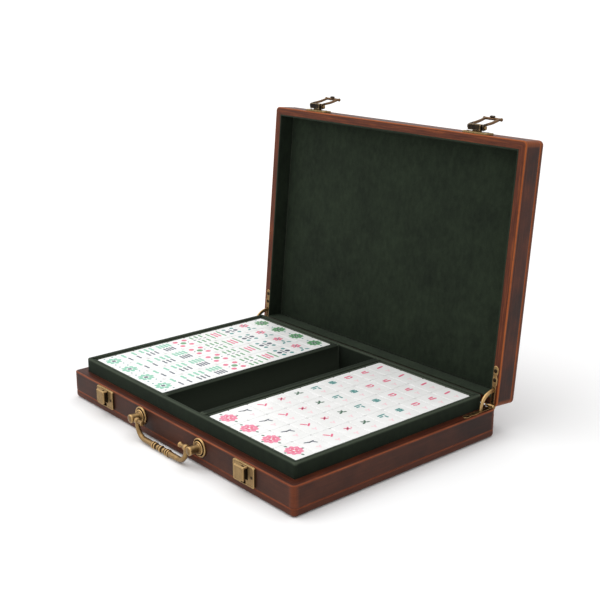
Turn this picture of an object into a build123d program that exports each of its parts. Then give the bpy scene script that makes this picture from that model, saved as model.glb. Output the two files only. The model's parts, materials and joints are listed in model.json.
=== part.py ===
from build123d import *
import os

# A leather-covered carrying case for a tile game, standing open on a table.
# Millimetres. +X runs across the case, the front with the handle is towards -Y and +Z is up.
# The origin is the centre of the underside. Pieces of the lid are made as if the case were shut,
# and then turned about the hinge pins to the open stop.

# Tiles, and the trays that hold them
tile_length = 30.0            # along X
tile_width = 21.4             # along Y
tile_thickness = 15.5
tile_edge = 0.9               # bevel on every edge of a tile
tile_gap = 0.1                # between neighbouring tiles
tile_columns = 4
tile_rows = 10
tile_clearance = 0.2          # from the outer tiles to the tray wall
tray_wall = 2.6
tray_floor = 1.5
tray_clearance = 0.3          # all round a tray, and over the tiles of the lower one

# The raised insert that is fixed in the base
insert_wall = 4.4
insert_above_tray = 1.5       # how far its walls stand above the upper trays
insert_edge = 1.4             # rounding of the wall tops
divider = 7.0
channel = 54.0                # clear width between the two dividers
floor_pad = 1.2

# Base and lid shells
leather = 1.2
base_board = 8.8
lid_board = 7.6
bottom_board = 4.0
top_board = 4.0
base_height = 28.5
lid_depth = 27.0
closed_gap = 0.4              # between the two rims when the lid is shut
corner_radius = 4.5           # upright corners
soft_edge = 4.0               # edges round the underside and round the top of the lid
rim_edge = 0.8                # outer edge of both rims
base_wrap = 8.0               # the bottom leather's seam with the side leather, above the table
lid_wrap = 6.5                # the top leather's seam, below the top of the shut lid
lining = 0.6                  # cloth on the inside walls of the lid
panel_pad = 6.3               # padded cloth panel inside the lid
panel_edge = 1.2
lining_reveal = 0.3           # lining edge below the lid's rim

# Hinges: leaves let into the side rims, a pin at the back edge and a curved stay
open_angle = 95.0
leaf_length = 40.0
leaf_width = 6.0              # of its wide part, which the screws hold
leaf_neck = 4.4               # width between the wide part and the pin
leaf_neck_length = 21.5       # from the pin
leaf_waist = 0.9              # depth of the scallop on each side, between the two screws
leaf_waist_radius = 4.0
leaf_thickness = 1.2
leaf_from_side = 5.7          # leaf's centre line, in from the side of the case
leaf_screws_at = (26.0, 35.0) # along the leaf, from the pin
eye_radius = 2.3
pin_radius = 1.2
pin_inboard = 7.0             # how far the pin reaches in from the leaf's centre line
pin_outboard = 3.1
running_fit = 0.05            # radial clearance of every pin
knuckle_gap = 0.15            # half of the gap between the two eyes of a hinge
notch_clearance = 0.4
stay_radius = 16.0
stay_width = 3.8
stay_thickness = 1.6
stay_head = 3.0               # thickness of the stop at each end
stay_head_angle = 8.0
stay_head_inset = 7.2         # angle from the leaf down to the stop, with the lid open
stay_clearance = 0.4
mortise_clearance = 0.3
mortise_run_on = 3.5          # angle past the end of the stay

# Keepers on the front of the base
hardware_x = 112.0            # keepers and hasps, out from the middle
keeper_width = 28.6
keeper_height = 19.0
keeper_plate = 2.2
keeper_corner = 2.0
keeper_middle = 18.1          # height of the keeper's centre
bridge_width = 12.8           # the raised box on the keeper
bridge_height = 12.8
bridge_up = 2.5               # the box's centre above the keeper's centre
bridge_proud = 7.6
bridge_wall = 1.5
bridge_pocket = 2.4           # depth of the pocket in each side of the box
key_slot_length = 3.2         # slot in the top of the box
key_slot_width = 1.3
key_slot_depth = 1.2
keeper_screws_out = 11.2

# Hasps on the front of the lid
hasp_plate_width = 33.0
hasp_plate_height = 12.6
hasp_plate = 1.8
hasp_plate_corner = 5.0
hasp_from_rim = 1.0           # plate's lower edge above the lid's rim
hasp_pin_height = 6.2         # pin's centre, out from the leather
hasp_pin_from_rim = 5.2
hasp_pin_radius = 1.1
hasp_eye_radius = 2.9
hasp_block_lift = 1.5         # gap between the plate and the block above it
hasp_block_width = 14.0
hasp_foot_width = 8.4         # the block's foot on the plate
hasp_bar = 2.2
hasp_bar_thickness = 1.8
hasp_side_clearance = 0.4
hasp_rod_radius = 1.6         # rod across the end of the loop
hasp_rod_gap = 1.4            # from the rod to the keeper's raised box above it
hasp_flip = 166.0
hasp_screws_out = 12.4
knob_width = 5.4
knob_height = 2.4
knob_clearance = 1.2          # from the knob to the leather when the hasp is shut
knob_room = 0.5               # round the knob, in the keeper's hole

# Handle on the front of the base
handle_half_span = 47.6
handle_axis_out = 10.0        # bail's axis, out from the front leather
handle_axis_up = 19.0
rosette_radius = 9.0
rosette_thickness = 1.8
rosette_step_radius = 6.6
rosette_step = 1.4
post_radius = 4.2
post_past_axis = 3.8
post_dome = 1.4
stud_radius = 2.0
nut_radius = 3.8
nut_thickness = 3.0
bail_pin_radius = 1.4
bail_pin_in_post = 2.6        # how far the pin reaches past the post's axis
bail_leg_inboard = 8.0        # leg's centre line, in from the post's axis
bail_finial = 14.6            # where the flared finial starts, in from the post's axis
finial_stem = 1.9             # radius of the pin between the leg and the finial
finial_radius = 2.6
finial_length = 2.4
bail_drop = 15.3
bail_radius = 2.5
bail_bend = 12.5
bail_boss_radius = 3.1        # boss round the pin at the top of each leg
bail_boss_length = 3.6
bead_radius = 3.5
bead_length = 2.2
bead_places = (-12.2, -8.9, 0.0, 8.9, 12.2)
grip_barrel_radius = 2.9      # barrel along the middle of the grip
grip_barrel_length = 15.0

# Screws
screw_shank = 1.1
screw_length = 7.0
screw_head = 2.1
screw_head_height = 0.8
leaf_screw_head = 1.7
leaf_screw_sunk = 0.8
screw_slot = 0.5
screw_fit = 0.05

# Worked out from the sizes above
field_x = tile_columns * (tile_length + tile_gap) - tile_gap
field_y = tile_rows * (tile_width + tile_gap) - tile_gap
tray_x = field_x + 2 * (tile_clearance + tray_wall)
tray_y = field_y + 2 * (tile_clearance + tray_wall)
tray_height = tray_floor + tile_thickness + tray_clearance
compartment_x = tray_x + 2 * tray_clearance
compartment_y = tray_y + 2 * tray_clearance
base_rim = leather + base_board
insert_x = channel / 2 + divider + compartment_x + insert_wall
insert_y = compartment_y / 2 + insert_wall
half_width = insert_x + base_rim
half_depth = insert_y + base_rim
board_top = leather + bottom_board
pad_top = board_top + floor_pad
insert_top = pad_top + 2 * tray_height + insert_above_tray
lid_rim = base_height + closed_gap
lid_top = lid_rim + lid_depth
lid_wall = leather + lid_board
panel_under = lid_top - leather - top_board - panel_pad
hinge_y = half_depth + closed_gap / 2
hinge_z = base_height + closed_gap / 2
leaf_x = half_width - leaf_from_side
stay_half_angle = open_angle / 2 + stay_head_inset + stay_head_angle
front_y = -half_depth
hasp_pin_y = front_y - hasp_pin_height
hasp_rod_y = hasp_pin_y + hasp_eye_radius - hasp_bar_thickness / 2
hasp_pin_z = lid_rim + hasp_pin_from_rim
bridge_middle = keeper_middle + bridge_up
bridge_bottom = bridge_middle - bridge_height / 2
hasp_reach = hasp_pin_z - bridge_bottom + hasp_rod_gap + hasp_rod_radius
hasp_half_slot = hasp_block_width / 2 + hasp_side_clearance
hasp_half_width = hasp_half_slot + hasp_bar
handle_y = front_y - handle_axis_out
SIDES = {"left": -1, "right": 1}
# End of the sizes


def block(x0, x1, y0, y1, z0, z1):
    """A box between two corners."""
    return Pos((x0 + x1) / 2, (y0 + y1) / 2, (z0 + z1) / 2) * Box(x1 - x0, y1 - y0, z1 - z0)


def rod_x(radius, x0, x1, y, z):
    """A round bar along X."""
    return Pos((x0 + x1) / 2, y, z) * Rot(0, 90, 0) * Cylinder(radius, x1 - x0)


def rod_y(radius, x, y0, y1, z):
    """A round bar along Y."""
    return Pos(x, (y0 + y1) / 2, z) * Rot(90, 0, 0) * Cylinder(radius, y1 - y0)


def rod_z(radius, x, y, z0, z1):
    """A round bar along Z."""
    return Pos(x, y, (z0 + z1) / 2) * Cylinder(radius, z1 - z0)


def ring_x(x0, x1, r0, r1, start, end):
    """Part of a flat ring about the hinge pins, its angles measured downwards from the front."""
    face = Pos((x0 + x1) / 2, -(r0 + r1) / 2, 0) * Rectangle(x1 - x0, r1 - r0)
    turned = revolve(face, Axis.X, end - start)
    return Pos(0, hinge_y, hinge_z) * Rot(start, 0, 0) * turned


def turn_about_x(part, angle, y, z):
    """The part turned about a line along X."""
    return part.rotate(Axis((0, y, z), (1, 0, 0)), angle)


def opened(part):
    """A piece of the shut lid, turned back to the open stop."""
    return turn_about_x(part, -open_angle, hinge_y, hinge_z)


def on_side(part, side):
    """The part itself on the right, and its mirror image on the left."""
    return part if side > 0 else mirror(part, Plane.YZ)


def both_sides(part):
    """The part and its mirror image."""
    return [part, mirror(part, Plane.YZ)]


def rounded_form(inset, z0, z1, soft_at_top):
    """The block that a shell is made from: upright corners, one soft rim of edges, one crisp."""
    form = block(inset - half_width, half_width - inset, inset - half_depth, half_depth - inset, z0, z1)
    form = fillet(form.edges().filter_by(Axis.Z), corner_radius - inset)
    faces = form.faces().sort_by(Axis.Z)
    soft_face, crisp_face = (faces[-1], faces[0]) if soft_at_top else (faces[0], faces[-1])
    form = fillet(soft_face.edges(), soft_edge - inset)
    if inset == 0:
        crisp_place = crisp_face.center().Z
        crisp = [e for e in form.edges() if abs(e.bounding_box().min.Z - crisp_place) < 0.01
                 and abs(e.bounding_box().max.Z - crisp_place) < 0.01]
        form = fillet(crisp, rim_edge)
    return form


def inner_block(wall, z0, z1):
    """What a wall of this thickness leaves free inside it."""
    return block(wall - half_width, half_width - wall, wall - half_depth, half_depth - wall, z0, z1)


def mitred(shell, wall):
    """The four strips of a wrapped shell, cut on the diagonals of its corners."""
    reach = 2 * wall
    strips = []
    for across, along, turn in ((half_width, half_depth, 0), (half_depth, half_width, 90)):
        outline = Polygon((-across - reach, -along - reach), (across + reach, -along - reach),
                          (across - 2 * reach, -along + 2 * reach),
                          (-across + 2 * reach, -along + 2 * reach), align=None)
        wedge = Pos(0, 0, -1) * extrude(outline, lid_top + 2)
        for half_turn in (0, 180):
            strips.append(shell & (Rot(0, 0, turn + half_turn) * wedge))
    return strips


def screw(head, head_height):
    """A slotted screw along Z, the underside of its head at the origin, its shank pointing down."""
    body = rod_z(head, 0, 0, 0, head_height) + rod_z(screw_shank, 0, 0, -screw_length, 0)
    half = head + 1
    return body - block(-half, half, -screw_slot / 2, screw_slot / 2, head_height / 2, head_height + 1)


def screw_hole(depth):
    """The hole that a screw's shank needs, from its head's underside down."""
    return rod_z(screw_shank + screw_fit, 0, 0, -depth - screw_fit, screw_head_height)


FACE_FRONT = Rot(90, 0, 0)    # turns +Z to -Y, for what is screwed to the front


# The hinge: leaf, eyes, pin, stay and the room they need
def leaf_outline(z0, z1):
    """The plan of the right base leaf between two heights: a neck, then a waisted plate."""
    half = leaf_width / 2
    neck = leaf_neck / 2
    tip = hinge_y - leaf_length + half
    shoulder = hinge_y - leaf_neck_length
    plan = block(leaf_x - half, leaf_x + half, tip, shoulder, z0, z1)
    plan += rod_z(half, leaf_x, tip, z0, z1)
    waist_y = hinge_y - sum(leaf_screws_at) / 2
    waist_x = half + leaf_waist_radius - leaf_waist
    for sign in (-1, 1):
        plan -= rod_z(leaf_waist_radius, leaf_x + sign * waist_x, waist_y, z0 - 1, z1 + 1)
    plan += block(leaf_x - neck, leaf_x + neck, shoulder, hinge_y - eye_radius - notch_clearance, z0, z1)
    return plan


def hinge_leaf(eye_inboard):
    """The right leaf of the base, flush in the rim, with its eye on one half of the pin."""
    z0 = base_height - leaf_thickness
    half = leaf_width / 2
    back = hinge_y - eye_radius - notch_clearance
    plate = leaf_outline(z0, base_height)
    eye_x0 = leaf_x - half if eye_inboard else leaf_x + knuckle_gap
    eye_x1 = leaf_x - knuckle_gap if eye_inboard else leaf_x + half
    plate += block(eye_x0, eye_x1, back, hinge_y - eye_radius / 2, z0, base_height)
    plate += rod_x(eye_radius, eye_x0, eye_x1, hinge_y, hinge_z)
    plate -= rod_x(pin_radius + running_fit, eye_x0 - 1, eye_x1 + 1, hinge_y, hinge_z)
    plate -= block(leaf_x - half - 1, leaf_x + half + 1, hinge_y - pin_radius / 2, hinge_y + pin_radius / 2,
                   hinge_z + eye_radius, hinge_z + eye_radius + 1)
    slot_half = stay_width / 2 + stay_clearance
    slot_x = stay_thickness / 2 + mortise_clearance
    plate -= block(leaf_x - slot_x, leaf_x + slot_x, hinge_y - stay_radius - slot_half,
                   hinge_y - stay_radius + slot_half, z0 - 1, base_height + 1)
    for distance in leaf_screws_at:
        plate -= rod_z(leaf_screw_head + screw_fit, leaf_x, hinge_y - distance,
                       base_height - leaf_screw_sunk, base_height + 1)
        plate -= rod_z(screw_shank + screw_fit, leaf_x, hinge_y - distance, z0 - 1, base_height + 1)
    return plate


def leaf_screws():
    """The two screws of the right leaf of the base."""
    one = screw(leaf_screw_head, leaf_screw_sunk)
    return [Pos(leaf_x, hinge_y - d, base_height - leaf_screw_sunk) * one for d in leaf_screws_at]


def hinge_room():
    """What is cut away for the right hinge: leaf bed, pin notch, stay mortise and screw holes."""
    low = hinge_z - eye_radius - notch_clearance
    bed = base_height - leaf_thickness
    room = leaf_outline(bed, hinge_z)
    notch_front = hinge_y - eye_radius - notch_clearance
    notch_end = leaf_x + pin_outboard + notch_clearance
    room += block(leaf_x - pin_inboard - notch_clearance, notch_end,
                  notch_front, half_depth + eye_radius + 1, low, hinge_z)
    mitre_bed = half_depth - (leaf_from_side - leaf_neck / 2)
    room += block(leaf_x, notch_end, min(mitre_bed, notch_front - 1), notch_front + 1, bed, hinge_z)
    half_mortise = stay_head / 2 + mortise_clearance
    reach = stay_width / 2 + stay_clearance + mortise_clearance
    room += ring_x(leaf_x - half_mortise, leaf_x + half_mortise, stay_radius - reach, stay_radius + reach,
                   0, stay_half_angle + mortise_run_on)
    for distance in leaf_screws_at:
        room += Pos(leaf_x, hinge_y - distance, base_height - leaf_screw_sunk) * screw_hole(screw_length)
    return room


def flipped_to_lid(part):
    """A hinge piece of the base as its mirror image in the shut lid."""
    return mirror(part, Plane.XY.offset(hinge_z))


def stay():
    """The right curved stay as it lies in both shells when the lid is shut, with its two stops."""
    r0, r1 = stay_radius - stay_width / 2, stay_radius + stay_width / 2
    x0, x1 = leaf_x - stay_thickness / 2, leaf_x + stay_thickness / 2
    arm = ring_x(x0, x1, r0, r1, -stay_half_angle, stay_half_angle)
    h0, h1 = leaf_x - stay_head / 2, leaf_x + stay_head / 2
    for start in (-stay_half_angle, stay_half_angle - stay_head_angle):
        arm += ring_x(h0, h1, r0, r1, start, start + stay_head_angle)
    return arm


hinge_cut = both_sides(hinge_room())
lid_hinge_cut = both_sides(flipped_to_lid(hinge_room()))


# Front hardware
def front_screws_at():
    """Where the keeper screws stand: X, height and the face under their heads."""
    return [(side * hardware_x + out, keeper_middle, front_y - keeper_plate)
            for side in SIDES.values() for out in (-keeper_screws_out, keeper_screws_out)]


def hasp_screws_at():
    """Where the hasp screws stand on the shut lid."""
    z = lid_rim + hasp_from_rim + hasp_plate_height / 2
    return [(side * hardware_x + out, z, front_y - hasp_plate)
            for side in SIDES.values() for out in (-hasp_screws_out, hasp_screws_out)]


def placed_screws(places):
    """Round-headed screws through a plate on the front."""
    one = FACE_FRONT * screw(screw_head, screw_head_height)
    return [Pos(x, y, z) * one for x, z, y in places]


def placed_holes(places):
    """The holes of those screws."""
    one = FACE_FRONT * screw_hole(screw_length)
    return [Pos(x, y, z) * one for x, z, y in places]


def bridge():
    """The keeper's raised box, with a pocket in each side that is open at the bottom."""
    half = bridge_width / 2
    top = bridge_bottom + bridge_height
    shell = block(-half, half, front_y - bridge_proud, front_y - keeper_plate / 2, bridge_bottom, top)
    shell = fillet(shell.edges().filter_by(Axis.Z).group_by(Axis.Y)[0], bridge_wall / 2)
    for sign in (-1, 1):
        x0, x1 = sorted((sign * (half - bridge_pocket), sign * (half + 1)))
        shell -= block(x0, x1, front_y - bridge_proud + bridge_wall, front_y - keeper_plate,
                       bridge_bottom - 1, top - bridge_wall)
    middle = front_y - (bridge_proud + keeper_plate) / 2
    return shell - block(half / 2 - key_slot_length / 2, half / 2 + key_slot_length / 2,
                         middle - key_slot_width / 2, middle + key_slot_width / 2,
                         top - key_slot_depth, top + 1)


def plate_on_front(width, height, thickness, corner, z):
    """A plate with rounded corners, flat on the front."""
    plate = block(-width / 2, width / 2, front_y - thickness, front_y, z - height / 2, z + height / 2)
    return fillet(plate.edges().filter_by(Axis.Y), corner)


def keeper():
    """The keeper that the hasp's slot drops over, at the middle of the case."""
    part = plate_on_front(keeper_width, keeper_height, keeper_plate, keeper_corner, keeper_middle)
    part += bridge()
    for out in (-keeper_screws_out, keeper_screws_out):
        part -= rod_y(screw_shank + screw_fit, out, front_y - keeper_plate - 1, front_y + 1, keeper_middle)
    half = knob_width / 2 + knob_room
    z_rod = hasp_pin_z - hasp_reach
    return part - block(-half, half, front_y - keeper_plate - 1, front_y + 1,
                        z_rod - knob_height / 2 - knob_room, z_rod + knob_height / 2 + knob_room)


def hasp_base():
    """The plate, bridge and fixed knuckle of a hasp, at the middle of the shut lid."""
    z_mid = lid_rim + hasp_from_rim + hasp_plate_height / 2
    part = plate_on_front(hasp_plate_width, hasp_plate_height, hasp_plate, hasp_plate_corner, z_mid)
    half = hasp_block_width / 2
    foot = hasp_foot_width / 2
    lifted = block(-half, half, hasp_pin_y - hasp_eye_radius, front_y - hasp_plate - hasp_block_lift,
                   lid_rim + hasp_from_rim, hasp_pin_z)
    part += fillet(lifted.edges().group_by(Axis.Z)[0], bridge_wall / 2)
    part += rod_x(hasp_eye_radius, -half, half, hasp_pin_y, hasp_pin_z)
    part += block(-foot, foot, hasp_pin_y, front_y - hasp_plate / 2,
                  hasp_pin_z - hasp_eye_radius / 2, hasp_pin_z + hasp_eye_radius)
    part -= rod_x(hasp_pin_radius + running_fit, -half - 1, half + 1, hasp_pin_y, hasp_pin_z)
    for out in (-hasp_screws_out, hasp_screws_out):
        part -= rod_y(screw_shank + screw_fit, out, front_y - hasp_plate - 1, front_y + 1, z_mid)
    return part


def hasp_pin():
    """The pin of a hasp, with a head at each end."""
    end = hasp_half_width + mortise_clearance
    pin = rod_x(hasp_pin_radius, -end, end, hasp_pin_y, hasp_pin_z)
    for sign in (-1, 1):
        x0, x1 = sorted((sign * end, sign * (end + screw_head_height)))
        pin += rod_x(hasp_pin_radius + 0.6, x0, x1, hasp_pin_y, hasp_pin_z)
    return pin


def hasp_arm():
    """The loop as it lies over the keeper, at the middle of the case: two bars and an end rod."""
    y1 = hasp_pin_y + hasp_eye_radius
    y0 = y1 - hasp_bar_thickness
    z_rod = hasp_pin_z - hasp_reach
    end = hasp_half_width + bridge_wall / 2
    rod = rod_x(hasp_rod_radius, -end, end, hasp_rod_y, z_rod)
    loop = fillet(rod.edges(), hasp_rod_radius * 0.6)
    for sign in (-1, 1):
        x0, x1 = sorted((sign * hasp_half_slot, sign * hasp_half_width))
        loop += block(x0, x1, y0, y1, z_rod, hasp_pin_z)
        loop += rod_x(hasp_eye_radius, x0, x1, hasp_pin_y, hasp_pin_z)
        loop -= rod_x(hasp_pin_radius + running_fit, x0 - 1, x1 + 1, hasp_pin_y, hasp_pin_z)
    return loop


def hasp_knob():
    """The catch on the inner side of the loop's end rod, which goes into the keeper's hole."""
    half = knob_width / 2
    z_rod = hasp_pin_z - hasp_reach
    knob = block(-half, half, hasp_rod_y, front_y - knob_clearance,
                 z_rod - knob_height / 2, z_rod + knob_height / 2)
    knob = fillet(knob.edges().filter_by(Axis.Y), 0.6)
    knob = chamfer(knob.faces().sort_by(Axis.Y)[-1].edges(), 0.3)
    return knob - rod_x(hasp_rod_radius, -half - 1, half + 1, hasp_rod_y, z_rod)


def flipped_open(part):
    """A piece of the hasp arm, swung from the keeper up on to the lid."""
    return turn_about_x(part, -hasp_flip, hasp_pin_y, hasp_pin_z)


def rosette():
    """The stepped round plate behind the right handle post."""
    step_y = front_y - rosette_thickness
    part = rod_y(rosette_radius, handle_half_span, step_y, front_y, handle_axis_up)
    part = fillet(part.edges().sort_by(Axis.Y)[0], rosette_thickness / 2)
    part += rod_y(rosette_step_radius, handle_half_span, step_y - rosette_step, step_y, handle_axis_up)
    part = fillet(part.edges().sort_by(Axis.Y)[0], rosette_step / 2)
    return part - rod_y(stud_radius + screw_fit, handle_half_span, step_y - rosette_step - 1,
                        front_y + 1, handle_axis_up)


def handle_post():
    """The right handle post, with the stud that its nut holds from inside."""
    seat = front_y - rosette_thickness - rosette_step
    part = rod_y(post_radius, handle_half_span, handle_y - post_past_axis, seat, handle_axis_up)
    part = fillet(part.edges().sort_by(Axis.Y)[0], post_dome)
    part += rod_y(stud_radius, handle_half_span, seat, front_y + base_rim, handle_axis_up)
    return part - rod_x(bail_pin_radius + running_fit, handle_half_span - post_radius - 1,
                        handle_half_span + post_radius + 1, handle_y, handle_axis_up)


def handle_nut():
    """The nut of the right post, sunk in the back of the front board."""
    y1 = front_y + base_rim
    nut = Pos(handle_half_span, y1 - nut_thickness / 2, handle_axis_up) * Rot(90, 0, 0) * extrude(
        RegularPolygon(nut_radius, 6), nut_thickness / 2, both=True)
    return nut - rod_y(stud_radius + screw_fit, handle_half_span, y1 - nut_thickness - 1, y1 + 1,
                       handle_axis_up)


def handle_room():
    """What is cut from the leather and the front board for the right post and its nut."""
    y1 = front_y + base_rim
    room = rod_y(stud_radius + screw_fit, handle_half_span, front_y - 1, y1 + 1, handle_axis_up)
    return room + rod_y(nut_radius + screw_fit, handle_half_span, y1 - nut_thickness - screw_fit,
                        y1 + 1, handle_axis_up)


def bail():
    """The swinging handle: cross pins with finials, bent legs and a beaded grip, hanging down."""
    leg_x = handle_half_span - bail_leg_inboard
    z_grip = handle_axis_up - bail_drop
    z_bend = z_grip + bail_bend
    x_bend = leg_x - bail_bend
    bend = revolve(Pos(leg_x, handle_y, z_bend) * Circle(bail_radius),
                   Axis((x_bend, handle_y, z_bend), (0, 1, 0)), 90)
    leg = rod_z(bail_radius, leg_x, handle_y, z_bend, handle_axis_up) + bend
    boss = bail_boss_length / 2
    leg += rod_x(bail_boss_radius, leg_x - boss, leg_x + boss, handle_y, handle_axis_up)
    inner = handle_half_span - bail_finial
    leg += rod_x(bail_pin_radius, leg_x, handle_half_span + bail_pin_in_post, handle_y, handle_axis_up)
    leg += rod_x(finial_stem, inner, leg_x, handle_y, handle_axis_up)
    flare = Rot(0, -90, 0) * Cone(finial_stem, finial_radius, finial_length)
    leg += Pos(inner - finial_length / 2, handle_y, handle_axis_up) * flare
    part = leg + mirror(leg, Plane.YZ) + rod_x(bail_radius, -x_bend, x_bend, handle_y, z_grip)
    for place in bead_places:
        bead = rod_x(bead_radius, place - bead_length / 2, place + bead_length / 2, handle_y, z_grip)
        part += fillet(bead.edges(), bead_length / 2 - 0.2)
    barrel = rod_x(grip_barrel_radius, -grip_barrel_length / 2, grip_barrel_length / 2, handle_y, z_grip)
    return part + fillet(barrel.edges(), grip_barrel_radius - bail_radius)


# Shells
def base_shell():
    """Boards and leathers of the base."""
    outer = rounded_form(0, 0, base_height, False)
    core = rounded_form(leather, leather, base_height - leather, False)
    cavity = inner_block(base_rim, board_top, base_height + 1)
    cuts = hinge_cut + both_sides(handle_room()) + placed_holes(front_screws_at())
    skin = outer - core - inner_block(base_rim, leather + bottom_board / 2, base_height + 1)
    skin -= cuts
    nodes = {}
    nodes["base_bottom_leather"] = skin & inner_block(0, 0, base_wrap)
    nodes["base_side_leather"] = mitred(skin & inner_block(0, base_wrap, base_height), base_rim)
    nodes["base_bottom_board"] = core & inner_block(0, 0, board_top)
    walls = core & inner_block(0, board_top, base_height)
    walls -= cavity
    walls -= cuts
    nodes.update(wall_boards("base", walls, base_rim, board_top, base_height))
    return nodes


def wall_boards(name, walls, wall, z0, z1):
    """The four boards of a shell: sides run through, front and back stand between them."""
    reach = half_width - wall
    far = half_width + 1
    deep = half_depth + 1
    return {
        name + "_left_board": walls & block(-far, -reach, -deep, deep, z0, z1),
        name + "_right_board": walls & block(reach, far, -deep, deep, z0, z1),
        name + "_front_board": walls & block(-reach, reach, -deep, 0, z0, z1),
        name + "_back_board": walls & block(-reach, reach, 0, deep, z0, z1),
    }


def lid_shell():
    """Boards and leathers of the shut lid."""
    outer = rounded_form(0, lid_rim, lid_top, True)
    core = rounded_form(leather, lid_rim + leather, lid_top - leather, True)
    under_board = lid_top - leather - top_board
    cuts = lid_hinge_cut + placed_holes(hasp_screws_at())
    skin = outer - core - inner_block(lid_wall, lid_rim - 1, lid_top - leather - top_board / 2)
    skin -= cuts
    seam = lid_top - lid_wrap
    nodes = {}
    nodes["lid_top_leather"] = skin & inner_block(0, seam, lid_top)
    nodes["lid_side_leather"] = mitred(skin & inner_block(0, lid_rim, seam), lid_wall)
    nodes["lid_top_board"] = core & inner_block(0, under_board, lid_top)
    walls = core & inner_block(0, lid_rim, under_board)
    walls -= inner_block(lid_wall, lid_rim - 1, under_board)
    walls -= cuts
    nodes.update(wall_boards("lid", walls, lid_wall, lid_rim, under_board))
    return nodes


def lid_linings():
    """The padded panel and the four wall linings of the shut lid."""
    under_board = lid_top - leather - top_board
    start = lid_rim + lining_reveal
    x_out, y_out = half_width - lid_wall, half_depth - lid_wall
    x_in = x_out - lining
    side = block(x_in, x_out, -y_out, y_out, start, under_board)
    end = block(-x_in, x_in, y_out - lining, y_out, start, under_board)
    panel = block(-x_in, x_in, lining - y_out, y_out - lining, panel_under, under_board)
    return {
        "lid_panel_lining": fillet(panel.faces().sort_by(Axis.Z)[0].edges(), panel_edge),
        "lid_side_linings": both_sides(side),
        "lid_end_linings": [end, mirror(end, Plane.XZ)],
    }


# Insert, trays and tiles
def soft_topped(x0, x1, y0, y1, z0, z1, axis):
    """A cloth-covered wall, its two long top edges rounded."""
    wall = block(x0, x1, y0, y1, z0, z1)
    return fillet(wall.faces().sort_by(Axis.Z)[-1].edges().filter_by(axis), insert_edge)


def insert_pieces():
    """The raised walls, the two dividers and the floor pad of the base."""
    y_in = insert_y - insert_wall
    x_in = insert_x - insert_wall
    d0, d1 = channel / 2, channel / 2 + divider
    side = soft_topped(x_in, insert_x, -y_in, y_in, board_top, insert_top, Axis.Y)
    back = soft_topped(-insert_x, insert_x, y_in, insert_y, board_top, insert_top, Axis.X)
    part = soft_topped(d0, d1, -y_in, y_in, pad_top, insert_top, Axis.Y)
    return {
        "insert_left_wall": on_side(side, -1),
        "insert_right_wall": side,
        "insert_back_wall": back,
        "insert_front_wall": mirror(back, Plane.XZ),
        "divider_left": on_side(part, -1),
        "divider_right": part,
        "compartment_pad": block(-x_in, x_in, -y_in, y_in, board_top, pad_top),
    }


def tray(z):
    """The right tray at a height: a thin floor with four walls."""
    x0 = channel / 2 + divider + tray_clearance
    half_y = tray_y / 2
    part = block(x0, x0 + tray_x, -half_y, half_y, z, z + tray_height)
    return part - block(x0 + tray_wall, x0 + tray_x - tray_wall, tray_wall - half_y, half_y - tray_wall,
                        z + tray_floor, z + tray_height + 1)


def tiles(z, side):
    """The tiles of one tray, in rows and columns, their faces up."""
    one = Box(tile_length, tile_width, tile_thickness, align=(Align.MIN, Align.MIN, Align.MIN))
    one = chamfer(one.edges(), tile_edge)
    x0 = channel / 2 + divider + tray_clearance + tray_wall + tile_clearance
    x0 = x0 if side > 0 else -x0 - field_x
    return [Pos(x0 + column * (tile_length + tile_gap), row * (tile_width + tile_gap) - field_y / 2, z)
            * one for column in range(tile_columns) for row in range(tile_rows)]


def all_pieces():
    """Every node of the case at rest, with the lid open."""
    nodes = base_shell()
    nodes.update(insert_pieces())
    lid = lid_shell()
    lid.update(lid_linings())
    leaf = hinge_leaf(True)
    lid_leaf = flipped_to_lid(hinge_leaf(False))
    pin = rod_x(pin_radius, leaf_x - pin_inboard, leaf_x + pin_outboard, hinge_y, hinge_z)
    lid["hasp_pins"] = []
    for name, side in SIDES.items():
        nodes["keeper_" + name] = Pos(side * hardware_x, 0, 0) * keeper()
        nodes["rosette_" + name] = on_side(rosette(), side)
        nodes["handle_post_" + name] = on_side(handle_post(), side)
        nodes["base_leaf_" + name] = on_side(leaf, side)
        lid["lid_leaf_" + name] = on_side(lid_leaf, side)
        lid["hasp_plate_" + name] = Pos(side * hardware_x, 0, 0) * hasp_base()
        lid["hasp_pins"].append(Pos(side * hardware_x, 0, 0) * hasp_pin())
        lid["hasp_arm_" + name] = Pos(side * hardware_x, 0, 0) * flipped_open(hasp_arm())
        lid["hasp_knob_" + name] = Pos(side * hardware_x, 0, 0) * flipped_open(hasp_knob())
        nodes["stay_" + name] = on_side(turn_about_x(stay(), -open_angle / 2, hinge_y, hinge_z), side)
        for level, z in (("lower", pad_top), ("upper", pad_top + tray_height)):
            nodes[level + "_tray_" + name] = on_side(tray(z), side)
            nodes[level + "_tiles_" + name] = tiles(z + tray_floor, side)
    nodes["handle_bail"] = bail()
    nodes["handle_nuts"] = both_sides(handle_nut())
    nodes["hinge_pins"] = both_sides(pin)
    nodes["keeper_screws"] = placed_screws(front_screws_at())
    nodes["base_leaf_screws"] = [s for one in leaf_screws() for s in both_sides(one)]
    lid["lid_leaf_screws"] = [s for one in leaf_screws() for s in both_sides(flipped_to_lid(one))]
    lid["hasp_plate_screws"] = placed_screws(hasp_screws_at())
    for name, piece in lid.items():
        nodes[name] = [opened(one) for one in piece] if isinstance(piece, list) else opened(piece)
    return nodes


os.makedirs("parts", exist_ok=True)
for node, piece in all_pieces().items():
    solids = piece if isinstance(piece, list) else [piece]
    solids = [solid for one in solids for solid in one.solids()]
    shape = solids[0] if len(solids) == 1 else Compound(children=solids)
    shape.label = node
    export_step(shape, "parts/" + node + ".step")
print("half width", half_width, "half depth", half_depth, "insert top", insert_top, "reach", hasp_reach)
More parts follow.
